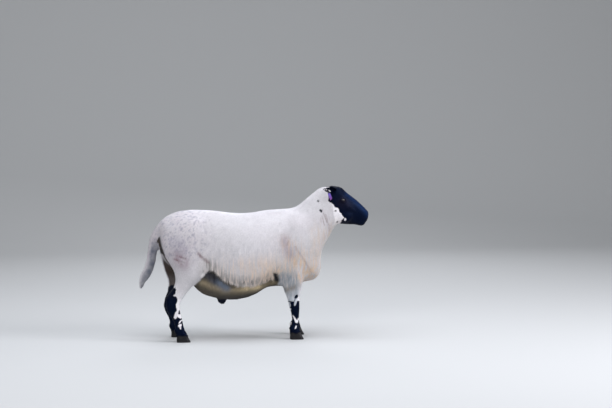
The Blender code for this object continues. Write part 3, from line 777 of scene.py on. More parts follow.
def ear_white(points):
    """1 where the right ear is pale: a streak low on it, and white hair on the back's outer part, not the
    tip.
    """
    along, across, _ = ear_axes(-1)
    off = points - mirrored(EAR_ROOT, -1)
    s, over = off @ along / EAR_LENGTH, off @ across
    streak = band(-over, 0.0105, 0.0120, 0.0150, 0.0165) * band(s, 0.20, 0.25, 0.62, 0.68)
    outer = ramp(over + 0.06 * (s - 0.75), -0.001, 0.001) * ramp(s, 0.62, 0.66)
    outer = np.maximum(outer, ramp(s, 0.72, 0.75)) * (1 - ramp(s, 0.90, 0.93))
    return np.maximum(streak, outer) * (points[:, 1] < 0)


def foreleg_black(p):
    """Black of a foreleg, with white let into it."""
    dark = np.maximum(ramp(0.2165 - p[:, 2], -0.0012, 0.0012), ramp(ovals(p, FORE_BLACK), 0, 0.12))
    return dark * (1 - ramp(ovals(p, FORE_WHITE), 0, 0.12))


def hind_leg_black(p):
    """Black of a hind leg: its rear from the hock up, all of it below, with white let in."""
    dark = ramp(np.interp(p[:, 2], HIND_EDGE_Z, HIND_EDGE_X) - p[:, 0], -0.0012, 0.0012)
    dark = dark * (1 - ramp(ovals(p, HIND_WHITE), 0, 0.12))
    return np.maximum(dark, ramp(ovals(p, HIND_BLACK), 0, 0.12))


def mingled(colour, other, share):
    """A colour for each place, taken this far towards another."""
    return colour + (other - colour) * np.clip(share, 0, 1)[:, None]


def belly_colours(points, around, streak):
    """The bare belly: dark brown with a golden band of painted sheen along its middle, painted shade
    darkening its lowest part, lighter near the fleece's edge further forward, a bluish painted shade under
    the fleece's edge further back, and a black painted shadow in its pit.
    """
    x, z = points[:, 0], points[:, 2]
    grain = (1 + 0.22 * noise(points * (1, 1, 2.2), 0.06, 43) + 0.12 * streak)[:, None]
    # Painted shade darkening the belly's lowest part.
    lowest_shade = np.interp(x, (-0.36, -0.28, -0.10, 0.0, 0.10), (0.290, 0.262, 0.262, 0.285, 0.315))
    lowest_shade = ramp(lowest_shade - z, 0, 0.030)
    upper = ramp(z - belly_line(x), -0.075, -0.015) * ramp(x, -0.18, -0.06)
    skin = mingled(BELLY_SKIN, BELLY_SHEEN_GOLD, around(BELLY_SHEEN_PATH, 0.020))
    skin = skin * grain * ((1 - 0.62 * lowest_shade) * (1 + 2.0 * upper))[:, None]
    skin = mingled(skin, BELLY_BLUE_SHADE, 0.9 * around(((-0.246, 0.356), (-0.213, 0.328), (-0.180, 0.304)), 0.024))
    # Black painted shadow in the pit before the thigh.
    return mingled(skin, PIT_SHADOW, around(((-0.312, 0.388), (-0.276, 0.380), (-0.252, 0.364)), 0.034, 3))


def coat_colours(points, normals, region):
    """Colour of the coat at each place, and how black it is."""
    x, y, z = points.T
    broad = noise(points, 0.11, 1)
    fine = noise(points, 0.018, 2)
    streak = noise(points * (1, 1, 0.10), 0.0050, 3) + 0.45 * noise(points * (1, 1, 0.13), 0.0095, 4)
    tail = region == "tail"
    off_legs = ramp(z, 0.270, 0.350)
    colour = np.repeat(FLEECE_TOP[None], len(points), 0)

    def around(path, reach, power=2):
        return bell(side_distance(points, path)[0], reach, power)

    # Pinkish grey over the rump and thigh, where the skin shows through; a painted blue-grey shade high on
    # the thigh, and a painted pink-grey shade over the thigh and along the shoulder.
    rump = ramp(-x, 0.20, 0.40) * ramp(z, 0.40, 0.50)
    speckle = noise(stirred(points, 0.02, 0.005, 7), 0.0070, 8) + 0.35 * noise(points, 0.004, 9)
    speckle = ramp(speckle, 0.14, 0.62) * (0.05 + 0.45 * rump)
    speckle = speckle * ramp(z, 0.40, 0.50) * (1 - ramp(x, 0.10, 0.26))
    # Painted pink-grey shade over the thigh.
    thigh_shade = around(((-0.445, 0.478), (-0.425, 0.450)), 0.048) * (0.8 + 0.5 * fine) * ~tail
    # Painted shade on the lower tail, except where it faces straight back.
    tail_shade = tail * ramp(0.60 - z, 0, 0.08) * ramp(normals[:, 0], -0.90, -0.10) * (0.9 + 0.3 * fine)
    # Tan stain low on the flank in upright streaks, strongest behind the shoulder, and a painted grey shade
    # at its hem, darker towards the fleece's lower edge.
    low = ramp(0.53 + 0.03 * broad - z, 0, 0.15) * off_legs * ramp(x, -0.40, -0.16) * ~tail
    hem_shade = ramp(belly_line(x) + 0.085 - z, 0, 0.085) * (x < 0.12) * off_legs * ramp(x, -0.36, -0.24) * ~tail
    shoulder = bell(x - 0.20 + 0.5 * (z - 0.50), 0.075) * ramp(0.62 - z, 0, 0.12) * off_legs
    # Tan on the brisket, partly a stain and partly painted shade low on the front of the chest.
    brisket = bell(x - 0.285, 0.045) * bell(z - 0.40, 0.06)
    throat = ramp(x, 0.26, 0.36) * ramp(0.70 - z, 0, 0.12) * off_legs
    # Grey down the front of the leg's top, partly the wool's own grey and partly painted shade, leaving its
    # front edge white as if lit.
    front_edge = np.interp(z, (0.23, 0.30, 0.34, 0.42), (0.240, 0.258, 0.245, 0.222))
    leg_top = band(z, 0.16, 0.20, 0.34, 0.45) * ramp(x, 0.10, 0.13) * ramp(front_edge - x, 0.004, 0.028)
    # The insides of the legs are bare skin, darkened further as painted shade between the legs.
    inward = -normals[:, 1] * np.sign(y)
    legs = np.where(on(region, "hind"), ramp(inward, 0.30, 0.60), ramp(inward, 0.60, 0.90) * (z < 0.34))
    legs = legs * on_leg(region)
    for other, share in (
        (FLEECE_PINK, 0.14 * ramp(broad, -0.5, 0.9) + rump * (0.16 + 0.16 * ramp(fine, -0.2, 0.9))),
        (SHORN_GREY_AND_SHADE, speckle),
        (SHORN_GREY_AND_SHADE, 0.42 * around(((-0.455, 0.560), (-0.430, 0.520)), 0.042) * (0.7 + 0.5 * fine)),
        (PINK_SHADE, 0.66 * thigh_shade),
        (PINK_SHADE, 0.50 * around(((0.150, 0.560), (0.158, 0.520), (0.180, 0.480)), 0.032)),
        (TAIL_SHADE, 0.85 * tail_shade),
        (FLEECE_TAN, low * (0.20 + 0.34 * bell(x - 0.09, 0.12) + 0.34 * streak)),
        (HEM_SHADE, hem_shade * (0.40 - 0.66 * streak)),
        (FLEECE_TAN, shoulder * 0.58 * ramp(streak, -0.6, 0.7)),
        (FLEECE_TAN, brisket * (0.28 + 0.3 * streak)),
        (FLEECE_TAN, throat * 0.24 * (1 + streak)),
        (LEG_GREY_AND_SHADE, leg_top * (0.88 - 0.42 * streak)),
        (LEG_TAN, 0.75 * leg_top * around(((0.160, 0.280), (0.205, 0.298)), 0.017) * (0.8 + 0.3 * streak)),
        (INNER_SKIN_AND_SHADE, 0.9 * legs * ramp(z, 0.225, 0.27)),
    ):
        colour = mingled(colour, other, share)

    bare = belly(stirred(points, 0.02, 0.006, 41), region)
    colour = mingled(colour, belly_colours(points, around, streak), bare * 0.96)
    # Painted shadow in the armpits and in the crease between the tail and the rump.
    armpit_shadows = around(((0.096, 0.372), (0.104, 0.352), (0.108, 0.340)), 0.0150, 4) * (np.abs(y) > 0.03)
    crease = around(CREASE_SHADOW_PATH, 0.0070, 3) * (np.abs(y) < 0.085) * ~tail
    colour = mingled(colour, PIT_SHADOW, 0.97 * np.maximum(armpit_shadows, crease))
    # Painted shade in the cleft between the thighs below the tail, over the bare inner skin.
    rear = (x < -0.40) * band(z, 0.33, 0.38, 0.565, 0.585) * ~tail * ramp(-normals[:, 0], 0.0, 0.3)
    rear = rear * np.maximum(bell(y, 0.050, 6), ramp(inward, 0.20, 0.45))
    colour = mingled(colour, INNER_SKIN_AND_SHADE, 0.95 * rear)
    colour = mingled(colour, FLEECE_TAN, 0.5 * (region == "scrotum"))
    # Painted shade along the folds of the flank, thigh, neck and shoulder.
    for path, width, strength in WRINKLE_SHADES:
        lines = around(path, width) * (np.abs(y) > 0.05) * ~tail * (1 + 0.5 * fine)
        colour = mingled(colour, WRINKLE_SHADE, strength * lines)
    uneven = streak * ramp(0.60 - z, 0, 0.16) * off_legs * ramp(x, -0.34, -0.22) * ~tail
    colour = colour * (1 + 0.13 * uneven)[:, None]

    # The black has a brown cast round the eye and on the cheek, and a painted blue reflection on the bridge
    # of the nose.
    dark = blackness(points, region)
    close = stirred(points, 0.006, 0.0014, 21)
    colour = mingled(colour, GREY_HAIR, face_spots(close, FACE_GREY, 0.15) * (region != "chest"))
    head = headness(points) > 0
    cast = bell(np.hypot((x - 0.500) / 0.045, (z - 0.762) / 0.038), 1) * (0.6 + 0.5 * fine)
    black = mingled(BLACK_HAIR, BROWN_BLACK, cast * head)
    black = mingled(black, BRIDGE_BLUE_REFLECTION, 0.75 * around(BRIDGE_PATH, 0.017) * head)
    colour = mingled(colour, black, dark)
    spot = face_spots(close, FACE_WHITE, 0.15)
    colour = mingled(colour, FLEECE_TOP * 0.85, spot) * (1 + 0.04 * fine)[:, None]
    return np.clip(colour, 0, 1), dark * (1 - spot)


# ---------------------------------------------------------------- materials

def new_material(name, plain):
    """A node material and its shader, with the numbers that are the same all over it."""
    made = bpy.data.materials.new(name)
    made.use_nodes = True
    shader = made.node_tree.nodes["Principled BSDF"]
    for socket, value in plain.items():
        shader.inputs[socket].default_value = value
    return made, shader


def add_node(material, kind, inputs=None, **settings):
    node = material.node_tree.nodes.new(kind)
    for name, value in settings.items():
        setattr(node, name, value)
    for socket, value in (inputs or {}).items():
        if isinstance(value, bpy.types.NodeSocket):
            material.node_tree.links.new(value, node.inputs[socket])
        else:
            node.inputs[socket].default_value = value
    return node


def object_place(material):
    return add_node(material, "ShaderNodeTexCoord").outputs["Object"]


def noise_at(material, scale, detail, stretch=None):
    """Noise in the object's own space, from 0 to 1."""
    place = object_place(material)
    if stretch:
        place = add_node(material, "ShaderNodeMapping", {"Vector": place, "Scale": stretch}).outputs["Vector"]
    made = add_node(material, "ShaderNodeTexNoise", {"Vector": place, "Scale": scale, "Detail": detail})
    return made.outputs["Fac"]


def mixed(material, share, first, second, blend="MIX"):
    """Two colours mixed, each a socket or a colour."""
    return add_node(material, "ShaderNodeMix", {"Factor": share, 6: first, 7: second}, data_type="RGBA",
                    blend_type=blend).outputs[2]


def rescaled(material, value, low, high, from_low=0.0, from_high=1.0):
    sockets = {"Value": value, "From Min": from_low, "From Max": from_high, "To Min": low, "To Max": high}
    return add_node(material, "ShaderNodeMapRange", sockets).outputs["Result"]


def multiplied(material, colour, factor):
    """A colour made lighter or darker by a number."""
    tone = add_node(material, "ShaderNodeCombineColor", {"Red": factor, "Green": factor, "Blue": factor})
    return mixed(material, 1, colour, tone.outputs["Color"], "MULTIPLY")


def plug(material, shader, socket, value):
    material.node_tree.links.new(value, shader.inputs[socket])


def bump(material, shader, height, distance):
    node = add_node(material, "ShaderNodeBump", {"Height": height, "Distance": distance})
    plug(material, shader, "Normal", node.outputs["Normal"])


HAIR_SHINE = (0.28, 0.48, 1.0, 1)        # black hair glints blue


def coat_material(name, roughness, sheen, shine, grain, depth):
    """Painted by the coat attribute, with a grain of its own. Its roughness is for white and for black."""
    material, shader = new_material(name, {"Specular IOR Level": shine, "Specular Tint": HAIR_SHINE,
                                           "Sheen Weight": sheen, "Sheen Roughness": 0.5})
    paint = add_node(material, "ShaderNodeAttribute", attribute_name="coat")
    dark = add_node(material, "ShaderNodeAttribute", attribute_name="dark").outputs["Fac"]
    tone = rescaled(material, noise_at(material, grain, 4), 0.80, 1.18, 0.25, 0.75)
    plug(material, shader, "Base Color", multiplied(material, paint.outputs["Color"], tone))
    plug(material, shader, "Roughness", rescaled(material, dark, *roughness))
    bump(material, shader, noise_at(material, grain * 1.6, 4, (1, 1, 0.5)), depth)
    return material


# ---------------------------------------------------------------- pieces

def paint(mesh, colours, dark):
    """Stores the coat's colour and blackness on a mesh's points."""
    layer = mesh.color_attributes.new("coat", "FLOAT_COLOR", "POINT")
    opaque = np.column_stack([colours, np.ones(len(colours))])
    layer.data.foreach_set("color", opaque.astype(np.float32).ravel())
    value = mesh.attributes.new("dark", "FLOAT", "POINT")
    value.data.foreach_set("value", np.asarray(dark, np.float32))


def add_piece(name, mesh, material, replaces=()):
    mesh.materials.append(material)
    item = add_object(name, mesh)
    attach(item, BODY)
    if replaces:
        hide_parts(*replaces)
    return item


class Skin:
    """The skin's points, triangles, normals and regions, which the coat grows from."""

    def __init__(self):
        self.points, self.triangles, self.region = make_skin_arrays()
        self.normals = normals_of(self.points, self.triangles)
        self.colours, self.dark = coat_colours(self.points, self.normals, self.region)


BODY_WAY, LEG_WAY = np.array((-0.50, 0, -0.86)), np.array((-0.12, 0, -1))
TAIL_WAY, LOCK_WAY = (-0.25, 0, -1), (-0.08, 0, -1)


def lie_of_coat(points, normals, region):
    """The way the coat lies: back and down the body, down the legs, back over the face, out on the ears."""
    way = mingled(BODY_WAY, LEG_WAY, ramp(0.56 - points[:, 2], 0, 0.20))
    way[region == "tail"] = TAIL_WAY
    face = (headness(points) > -0.01) & ~on(region, "ear") & (points[:, 2] > ABOVE_LEGS)
    rise = np.interp(points[:, 2], (0.64, 0.70, 0.80), (-0.45, 0.0, 0.60))
    way[face] = np.stack([np.full(face.sum(), -0.85), np.zeros(face.sum()), rise[face]], 1)
    for side, name in zip(SIDES, EARS):
        way[region == name] = ear_axes(side)[0]
    return laid(points, normals, way, 0.18)


def laid(points, normals, way, stir):
    """A way along the skin, stirred a little by noise."""
    way = way + stir * noise_vectors(points, 0.045, 71)
    way = way - normals * np.einsum("ij,ij->i", way, normals)[:, None]
    return unit(way)


TUFT_FACES = ((0, 2, 1), (0, 1, 3), (1, 2, 3), (2, 0, 3))
TUFT_POINTS = 4
TUFT_BULK = 0.42        # thickness of a tuft's root, in its widths
ROOT_SUNK = 0.0012      # how far a tuft starts below the skin


def grow(roots, normals, way, length, width, height):
    """Tufts: closed three-sided slivers that lie over, each from its root to a fine tip."""
    across = np.cross(normals, way) * (width / 2)[:, None]
    foot = roots - normals * ROOT_SUNK
    tip = roots + way * length[:, None] + normals * height[:, None]
    points = np.stack([foot - across, foot + across, foot + normals * (width * TUFT_BULK)[:, None], tip], 1)
    triangles = np.array(TUFT_FACES)[None] + (np.arange(len(roots)) * TUFT_POINTS)[:, None, None]
    return points.reshape(-1, 3), triangles.reshape(-1, 3)


UNWRAP_PLACES = 12      # where along a piece its middle is found
MAP_MARGIN = 0.02
PATCH = 0.003           # side of a tuft's patch on its map
SOFTNESS = 1.2          # how much of the skin's own slope is in a tuft's shading


def unwrapped(points, axis):
    """Each place as (round the axis, along it), both 0 to 1: the skin slit along its axis and rolled flat."""
    along = unit(np.array(axis, float))
    side = unit(np.cross(along, (0, 1, 0)) if abs(along[1]) < 0.9 else np.cross(along, (0, 0, 1)))
    reach = points @ along
    low, high = reach.min(), reach.max()
    places = np.linspace(low, high, UNWRAP_PLACES)
    near = (high - low) / (UNWRAP_PLACES - 1)
    centres = np.array([points[np.abs(reach - place) < near].mean(0) for place in places])
    off = points - np.stack([np.interp(reach, places, centres[:, i]) for i in range(3)], 1)
    turn = np.arctan2(off @ np.cross(along, side), off @ side) / (2 * math.pi) + 0.5
    return MAP_MARGIN + (1 - 2 * MAP_MARGIN) * np.stack([turn, (reach - low) / (high - low)], 1)


def put_map(mesh, triangles, root_places):
    """The map OFBake: each tuft a small patch at its root's place."""
    turn = np.arange(TUFT_POINTS) * math.pi / 2
    spread = PATCH / 2 * np.stack([np.cos(turn), np.sin(turn)], 1)
    places = (root_places[:, None, :] + spread[None]).reshape(-1, 2)
    layer = mesh.uv_layers.new(name="OFBake")
    layer.uv.foreach_set("vector", places[triangles.ravel()].astype(np.float32).ravel())


def add_coat(skin, name, where, count, length, width, rise, material, slot, axis, seed, bare, way=None,
             uneven=(0.03, 0.014)):
    """One piece of coat on part of the skin. Lengths are uneven by a share, in patches of a size."""
    rng = np.random.default_rng(seed)
    triangles = skin.triangles[where[skin.triangles[:, 0]]]
    picked, weights = pick_points(skin.points, triangles, 1 - bare + 1e-9, count, rng)
    corners = triangles[picked]
    roots = np.einsum("ij,ijk->ik", weights, skin.points[corners])
    normals = unit(np.einsum("ij,ijk->ik", weights, skin.normals[corners]))
    region = skin.region[corners[:, 0]]
    depth = coat_depth(roots, region)
    way = lie_of_coat(roots, normals, region) if way is None else laid(roots, normals, np.array(way), 0.12)
    way = unit(way + np.cross(normals, way) * rng.normal(0, 0.14, count)[:, None])
    # Wool is shorter where the coat is thin, and hair on the muzzle.
    if slot == "fleece":
        full = 0.45 + 0.55 * np.minimum(depth / WOOL_DEPTH, 1)
    else:
        full = 1 - 0.45 * ramp(roots[:, 0], 0.56, 0.62)
    lengths = length * rng.uniform(0.70, 1.30, count) * (1 + uneven[0] * noise(roots, uneven[1], seed)) * full
    widths = width * rng.uniform(0.75, 1.25, count)
    heights = depth * rise * rng.uniform(0.80, 1.03, count)
    # A tuft is seen most at its middle, so it takes the colour of that place.
    colours, dark = coat_colours(roots + way * (lengths * 0.45)[:, None], normals, region)
    lengths = lengths * (1 - 0.35 * dark * (depth > HAIR_DEPTH * 2))
    points, triangles = grow(roots, normals, way, lengths, widths, heights)
    colours = np.clip(colours * (1 + rng.normal(0, 0.04, count))[:, None], 0, 1)
    mesh = mesh_of(name, points, triangles)
    # Wool is soft: it takes the light much as the skin under it does.
    soft = np.repeat(normals * SOFTNESS, TUFT_POINTS, 0) + normals_of(points, triangles)
    mesh.normals_split_custom_set_from_vertices(unit(soft))
    put_map(mesh, triangles, unwrapped(roots, axis))
    paint(mesh, np.repeat(colours, TUFT_POINTS, 0), np.repeat(dark, TUFT_POINTS, 0))
    return add_piece(name, mesh, material)


def make_coat(skin):
    region, points = skin.region, skin.points
    x, y, z = points.T
    wool = coat_material("wool", roughness=(0.95, 0.6), sheen=0.10, shine=0.13, grain=300, depth=0.0006)
    hair = coat_material("short_hair", roughness=(0.75, 0.46), sheen=0.0, shine=0.12, grain=500, depth=0.0003)
    smooth = belly(points, region)
    bare = smooth.copy()
    for side in SIDES:
        bare = np.maximum(bare, ramp(eye_opening(points, side), -0.0022, -0.0010))
        bare = np.maximum(bare, 1 - ramp(distance_to(points, on_side(NOSTRIL, side))[0], 0.0040, 0.0060))
    on_head = (headness(points) > -0.006) & (z > 0.58) & ~on(region, "ear")
    trunk = ~on_head & np.isin(region, ("neck", "head", "chest", "barrel", "rump"))
    wool_legs = np.char.endswith(region, "_upper") & (z > WOOL_END)
    hair_legs = z < HAIR_TOP
    along, upright = (1, 0, 0), (0, 0, 1)

    def one(name, where, count, axis, seed, sizes):
        add_coat(skin, name, where, count, axis=axis, seed=seed, **sizes)

    def pair(name, where, count, axis, seed, sizes):
        """A piece on the right side and one on the left."""
        one(name + "_right", where & (y < 0), count, axis, seed, sizes)
        one(name + "_left", where & (y >= 0), count, axis, seed + 1, sizes)

    wool_size = dict(length=0.0150, width=0.0042, rise=1.0, material=wool, slot="fleece", bare=bare)
    one("wool_neck", trunk & np.isin(region, ("neck", "head")), 36000, (0.55, 0, 0.83), 100, wool_size)
    pair("wool_chest", trunk & (region == "chest"), 24000, along, 101, wool_size)
    pair("wool_barrel", trunk & (region == "barrel"), 27000, along, 103, wool_size)
    pair("wool_rump", trunk & (region == "rump"), 19000, along, 105, wool_size)
    pair("wool_foreleg", on(region, "fore") & wool_legs, 9000, upright, 107, wool_size)
    pair("wool_hind_leg", on(region, "hind") & wool_legs, 21000, upright, 109, wool_size)

    # Longer locks hang from the fleece's lower edge, and off the tail.
    edge = z - belly_line(x)
    fringe = trunk & (edge > 0) & (edge < 0.075) & (x > -0.27) & (x < 0.105) & (np.abs(y) > 0.06)
    lock_size = dict(wool_size, length=0.032, width=0.0036, rise=1.10, bare=0.75 * ramp(edge, 0.02, 0.075),
                     way=LOCK_WAY, uneven=(0.30, 0.007))
    pair("locks", fringe, 9000, along, 180, lock_size)
    one("wool_tail", region == "tail", 13000, (0.25, 0, 1), 182, dict(wool_size, width=0.0036))

    hair_size = dict(length=0.0062, width=0.0014, rise=0.9, material=hair, slot="black_hair", bare=bare)
    one("hair_head", on_head, 26000, (0.79, 0, -0.61), 200, hair_size)
    for seed, side, name in zip((201, 202), SIDES, EARS):
        one("hair_" + name, region == name, 5000, ear_axes(side)[0], seed, hair_size)
    pair("hair_foreleg", on(region, "fore") & hair_legs, 9000, upright, 203, hair_size)
    pair("hair_hind_leg", on(region, "hind") & hair_legs, 10000, upright, 205, hair_size)
    pair("hair_coronets", z < CORONET_TOP, 4200, along, 215, dict(hair_size, length=0.0125, rise=1.3))
    down = dict(hair_size, length=0.009, width=0.0022, slot="bare_skin", bare=1 - smooth * 0.999)
    one("hair_belly", (smooth > 0.02) | np.isin(region, ("prepuce", "scrotum")), 9000, along, 230, down)


def make_skin(skin):
    mesh = mesh_of("skin", skin.points, skin.triangles)
    paint(mesh, skin.colours, skin.dark)
    material = coat_material("hide", roughness=(0.80, 0.46), sheen=0.0, shine=0.12, grain=420, depth=0.0005)
    add_piece("skin", mesh, material, FLESH)


def make_eyes():
    """Eyeballs with a clear bulge, a brown iris and a level slot of a pupil."""
    material, shader = new_material("eye_gloss", {"Roughness": 0.12, "Specular IOR Level": 0.25,
                                                  "Coat Weight": 0.30, "Coat Roughness": 0.03})
    place = add_node(material, "ShaderNodeAttribute", attribute_name="iris_place").outputs["Vector"]
    parts = add_node(material, "ShaderNodeSeparateXYZ", {"Vector": place})
    across, up = parts.outputs["X"], parts.outputs["Y"]

    def computed(operation, first, second):
        return add_node(material, "ShaderNodeMath", {0: first, 1: second}, operation=operation).outputs[0]

    def squared(value, size):
        scaled = computed("DIVIDE", value, size)
        return computed("MULTIPLY", scaled, scaled)

    def oval(width, height):
        return computed("ADD", squared(across, width), squared(up, height))

    iris = rescaled(material, oval(0.0098, 0.0092), 0, 1, 0.85, 1.1)
    pupil = rescaled(material, oval(0.0062, 0.0026), 0, 1, 0.8, 1.15)
    fibres = rescaled(material, noise_at(material, 900, 3), 0, 1, 0.3, 0.7)
    brown = mixed(material, fibres, (0.010, 0.008, 0.010, 1), (0.024, 0.017, 0.019, 1))
    rim = mixed(material, iris, brown, (0.012, 0.009, 0.008, 1))
    plug(material, shader, "Base Color", mixed(material, pupil, (0.002, 0.002, 0.004, 1), rim))
    for side, name in zip(SIDES, ("eye_right", "eye_left")):
        centre, _, _, look = eye_frame(side)
        bm = bmesh.new()
        turn = Vector(look).to_track_quat("Z", "Y").to_matrix().to_4x4()
        bmesh.ops.create_uvsphere(bm, u_segments=64, v_segments=48, radius=EYE_RADIUS)
        for vertex in bm.verts:
            around = math.hypot(vertex.co.x, vertex.co.y)
            if vertex.co.z > 0:
                vertex.co.z += 0.0011 * math.exp(-(around / 0.0085) ** 4)
        bmesh.ops.transform(bm, matrix=Matrix.Translation(Vector(centre)) @ turn, verts=bm.verts)
        mesh = mesh_from(bm, name)
        points, _ = arrays_of(mesh)
        level = unit(np.cross(look, (0, 0, 1)))
        upward = np.cross(level, look)
        off = points - centre
        front = off @ look > 0
        layer = mesh.attributes.new("iris_place", "FLOAT_VECTOR", "POINT")
        far = 0.02          # off the iris
        place = [np.where(front, off @ level, far), np.where(front, off @ upward, far), off @ look]
        layer.data.foreach_set("vector", np.stack(place, 1).astype(np.float32).ravel())
        add_piece(name + "_ball", mesh, material, [name])


def make_hooves():
    """Claws with growth rings, that reach up inside the hair."""
    material, shader = new_material("hoof_horn", {"Specular IOR Level": 0.16})
    rings = noise_at(material, 110, 3, (0.25, 0.25, 2.4))
    scratches = noise_at(material, 420, 4, (1, 1, 0.2))
    dark_horn, pale_horn = (0.0040, 0.0045, 0.0060, 1), (0.014, 0.012, 0.012, 1)
    base = mixed(material, rescaled(material, rings, 0, 1, 0.35, 0.65), dark_horn, pale_horn)
    tone = rescaled(material, scratches, 0.75, 1.25, 0.3, 0.7)
    plug(material, shader, "Base Color", multiplied(material, base, tone))
    plug(material, shader, "Roughness", rescaled(material, scratches, 0.38, 0.62, 0.3, 0.7))
    bump(material, shader, scratches, 0.0004)
    for node in [name for name in NODES if name.startswith("hoof_")]:
        low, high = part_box(node)
        points, triangles = fused([node], 0, HOOF_GRAIN)
        points = relax(points, edges_between(triangles), 4)
        share = (points[:, 2] - low.z) / (high.z - low.z)
        normals = normals_of(points, triangles)
        level = unit(normals * (1, 1, 0))
        ring = 0.0003 * np.sin(share * 2 * math.pi * 6 + 2 * noise(points, 0.02, 5)) * ramp(share, 0.08, 0.2)
        points = points + level * (ring * (np.abs(normals[:, 2]) < 0.8))[:, None]
        raised = ramp(share, 0.80, 1.0)[:, None]
        middle = np.array(((low.x + high.x) / 2, (low.y + high.y) / 2, 0))
        inward = (middle - points) * (1, 1, 0) * 0.10
        points = points + raised * (inward + np.array((-0.003, 0, 0.008)))
        points[:, 2] = np.maximum(points[:, 2], low.z)
        add_piece(node + "_claw", mesh_of(node, points, triangles), material, [node])


# Height, radius and thickness of the stud's head, stem and foot.
TAG_STUD = ((0.0002, 0.0058, 0.0030), (-0.0045, 0.0028, 0.0090), (-0.0086, 0.0062, 0.0016))


def tag_outline():
    """Across and down from the pin: a round top, a narrow neck and a plate with round corners."""
    across, low, high = TAG_WIDTH / 2 - TAG_CORNER, TAG_NECK + TAG_CORNER, TAG_NECK + TAG_HEIGHT - TAG_CORNER
    rounds = [((x, y), TAG_CORNER, first, first + 90, 8) for x, y, first in
              ((across, low, -90), (across, high, 0), (-across, high, 90), (-across, low, 180))]
    rounds.append(((0, 0), TAG_NECK_HALF, 180, 360, 20))
    points = []
    for (x, y), radius, first, last, steps in rounds:
        for i in range(steps + 1):
            turn = math.radians(first + (last - first) * i / steps)
            points.append((x + radius * math.cos(turn), y + radius * math.sin(turn)))
    return points


def make_tag():
    """A flag tag of soft plastic: a plate on a neck, and the stud that pins it through the ear."""
    material, shader = new_material("tag_plastic_violet", {})
    low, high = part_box("ear_tag")
    height = add_node(material, "ShaderNodeSeparateXYZ", {"Vector": object_place(material)}).outputs["Z"]
    share = rescaled(material, height, 0, 1, low.z, high.z)
    worn = noise_at(material, 260, 4)
    pink, violet = (0.14, 0.032, 0.17, 1), (0.125, 0.085, 0.42, 1)
    blend = mixed(material, rescaled(material, share, 0, 1, 0.05, 0.60), pink, violet)
    # The neck is near black: painted shade under the ear.
    blend = mixed(material, rescaled(material, share, 0, 1, 0.60, 0.68), blend, (0.012, 0.008, 0.022, 1))
    tone = rescaled(material, worn, 0.8, 1.15, 0.3, 0.7)
    plug(material, shader, "Base Color", multiplied(material, blend, tone))
    plug(material, shader, "Roughness", rescaled(material, worn, 0.34, 0.55, 0.3, 0.7))
    bump(material, shader, worn, 0.0002)

    along, _, hollow = ear_axes(-1)
    s, angle = TAG_PIN
    pin = ear_points(-1, np.array([s]), np.array([angle]), np.array([EAR_THICKNESS]))[0]
    pin = Vector(pin + hollow * (0.001 + TAG_THICKNESS))
    drop = Vector(TAG_DROP).normalized()
    sideways = Vector((along[0], along[1], 0))
    sideways = (sideways - drop * sideways.dot(drop)).normalized()
    out = sideways.cross(drop)
    bm = bmesh.new()
    half = TAG_THICKNESS / 2
    rim = half * 0.45
    loops = []
    middle = (0, (TAG_NECK + TAG_HEIGHT) / 2)
    for lift, inset in ((-half, rim), (-half + rim, 0), (half - rim, 0), (half, rim)):
        loop = []
        for x, y in tag_outline():
            pull = Vector((middle[0] - x, middle[1] - y)).normalized() * inset
            loop.append(bm.verts.new(pin + sideways * (x + pull.x) + drop * (y + pull.y) + out * lift))
        loops.append(loop)
    for first, second in zip(loops, loops[1:]):
        for i, vertex in enumerate(first):
            after = (i + 1) % len(first)
            bm.faces.new((vertex, first[after], second[after], second[i]))
    bm.faces.new(loops[0][::-1])
    bm.faces.new(loops[-1])
    turn = Vector(hollow).to_track_quat("Z", "Y").to_matrix().to_4x4()
    for lift, radius, depth in TAG_STUD:
        turn.translation = pin + Vector(hollow) * lift
        bmesh.ops.create_cone(bm, cap_ends=True, segments=32, radius1=radius, radius2=radius * 0.86,
                              depth=depth, matrix=turn)
    bmesh.ops.recalc_face_normals(bm, faces=bm.faces)
    bmesh.ops.triangulate(bm, faces=bm.faces)
    mesh = mesh_from(bm, "tag")
    mesh.set_sharp_from_angle(angle=math.radians(40))
    add_piece("tag", mesh, material, ["ear_tag"])


# ---------------------------------------------------------------- stage, light and camera

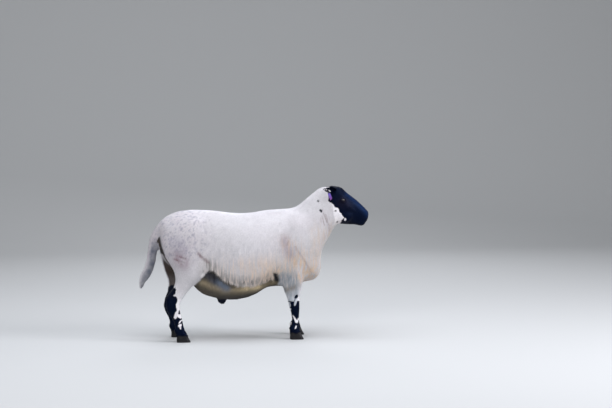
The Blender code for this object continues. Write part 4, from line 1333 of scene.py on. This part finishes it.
def make_stage():
    """A pale floor that sweeps up behind."""
    material, _ = new_material("stage_paint", {"Base Color": (0.46, 0.46, 0.455, 1), "Roughness": 0.9})
    bm = bmesh.new()
    front, back, radius, top, half_width = -14.0, 5.0, 3.0, 9.0, 16
    profile = [(front, 0.0), (back, 0.0)]
    profile += [(back + radius * math.sin(turn), radius - radius * math.cos(turn))
                for turn in (math.radians(degrees) for degrees in range(6, 91, 6))]
    profile.append((back + radius, top))
    rows = [[bm.verts.new((x, y, z)) for x in (-half_width, half_width)] for y, z in profile]
    for first, second in zip(rows, rows[1:]):
        bm.faces.new((first[0], first[1], second[1], second[0]))
    mesh = mesh_from(bm, "floor")
    mesh.materials.append(material)
    add_object("floor", mesh)


LIGHTS = (              # name, place, aim, size, power, colour
    ("sky", (-0.5, -0.6, 4.4), (0, 0, 0.45), 4.0, 195, (0.87, 0.915, 1.0)),
    ("front", (-3.0, -6.5, 3.2), (0, 0, 0.5), 3.5, 224, (0.96, 0.965, 1.0)),
    ("side", (4.5, -2.5, 2.6), (0.2, 0, 0.5), 2.5, 250, (0.93, 0.94, 1.0)),
    ("back", (1.0, 4.5, 3.4), (0, 0, 0.6), 3.0, 80, (0.92, 0.94, 1.0)),
)


def make_lights():
    for name, place, aim, size, power, colour in LIGHTS:
        light = bpy.data.lights.new(name, "AREA")
        light.shape = "DISK"
        light.size = size
        light.energy = power
        light.color = colour
        item = add_object(name, light)
        item.location = place
        item.rotation_euler = (Vector(aim) - Vector(place)).to_track_quat("-Z", "Y").to_euler()
    world = bpy.data.worlds.new("studio")
    world.use_nodes = True
    background = world.node_tree.nodes["Background"]
    background.inputs["Color"].default_value = (0.88, 0.92, 0.97, 1)
    background.inputs["Strength"].default_value = 0.42
    bpy.context.scene.world = world
    bpy.context.scene.view_settings.view_transform = "Standard"


CAMERA_PLACE = (-1.3977, -9.9027, 1.45)
CAMERA_LENS, CAMERA_SENSOR = 105.04, 36         # mm
CAMERA_HEADING, CAMERA_PITCH = math.radians(9.684), math.radians(3.975)


def make_camera():
    """Far off and a little above the back, as the photographer stood."""
    camera = bpy.data.cameras.new("camera")
    camera.lens = CAMERA_LENS
    camera.sensor_width = CAMERA_SENSOR
    camera.clip_end = 60
    item = add_object("camera", camera)
    item.location = CAMERA_PLACE
    level = math.cos(CAMERA_PITCH)
    aim = (math.sin(CAMERA_HEADING) * level, math.cos(CAMERA_HEADING) * level, -math.sin(CAMERA_PITCH))
    item.rotation_euler = Vector(aim).to_track_quat("-Z", "Y").to_euler()
    bpy.context.scene.camera = item


make_camera()
SKIN = Skin()
make_skin(SKIN)
make_coat(SKIN)
make_eyes()
make_hooves()
make_tag()
make_stage()
make_lights()
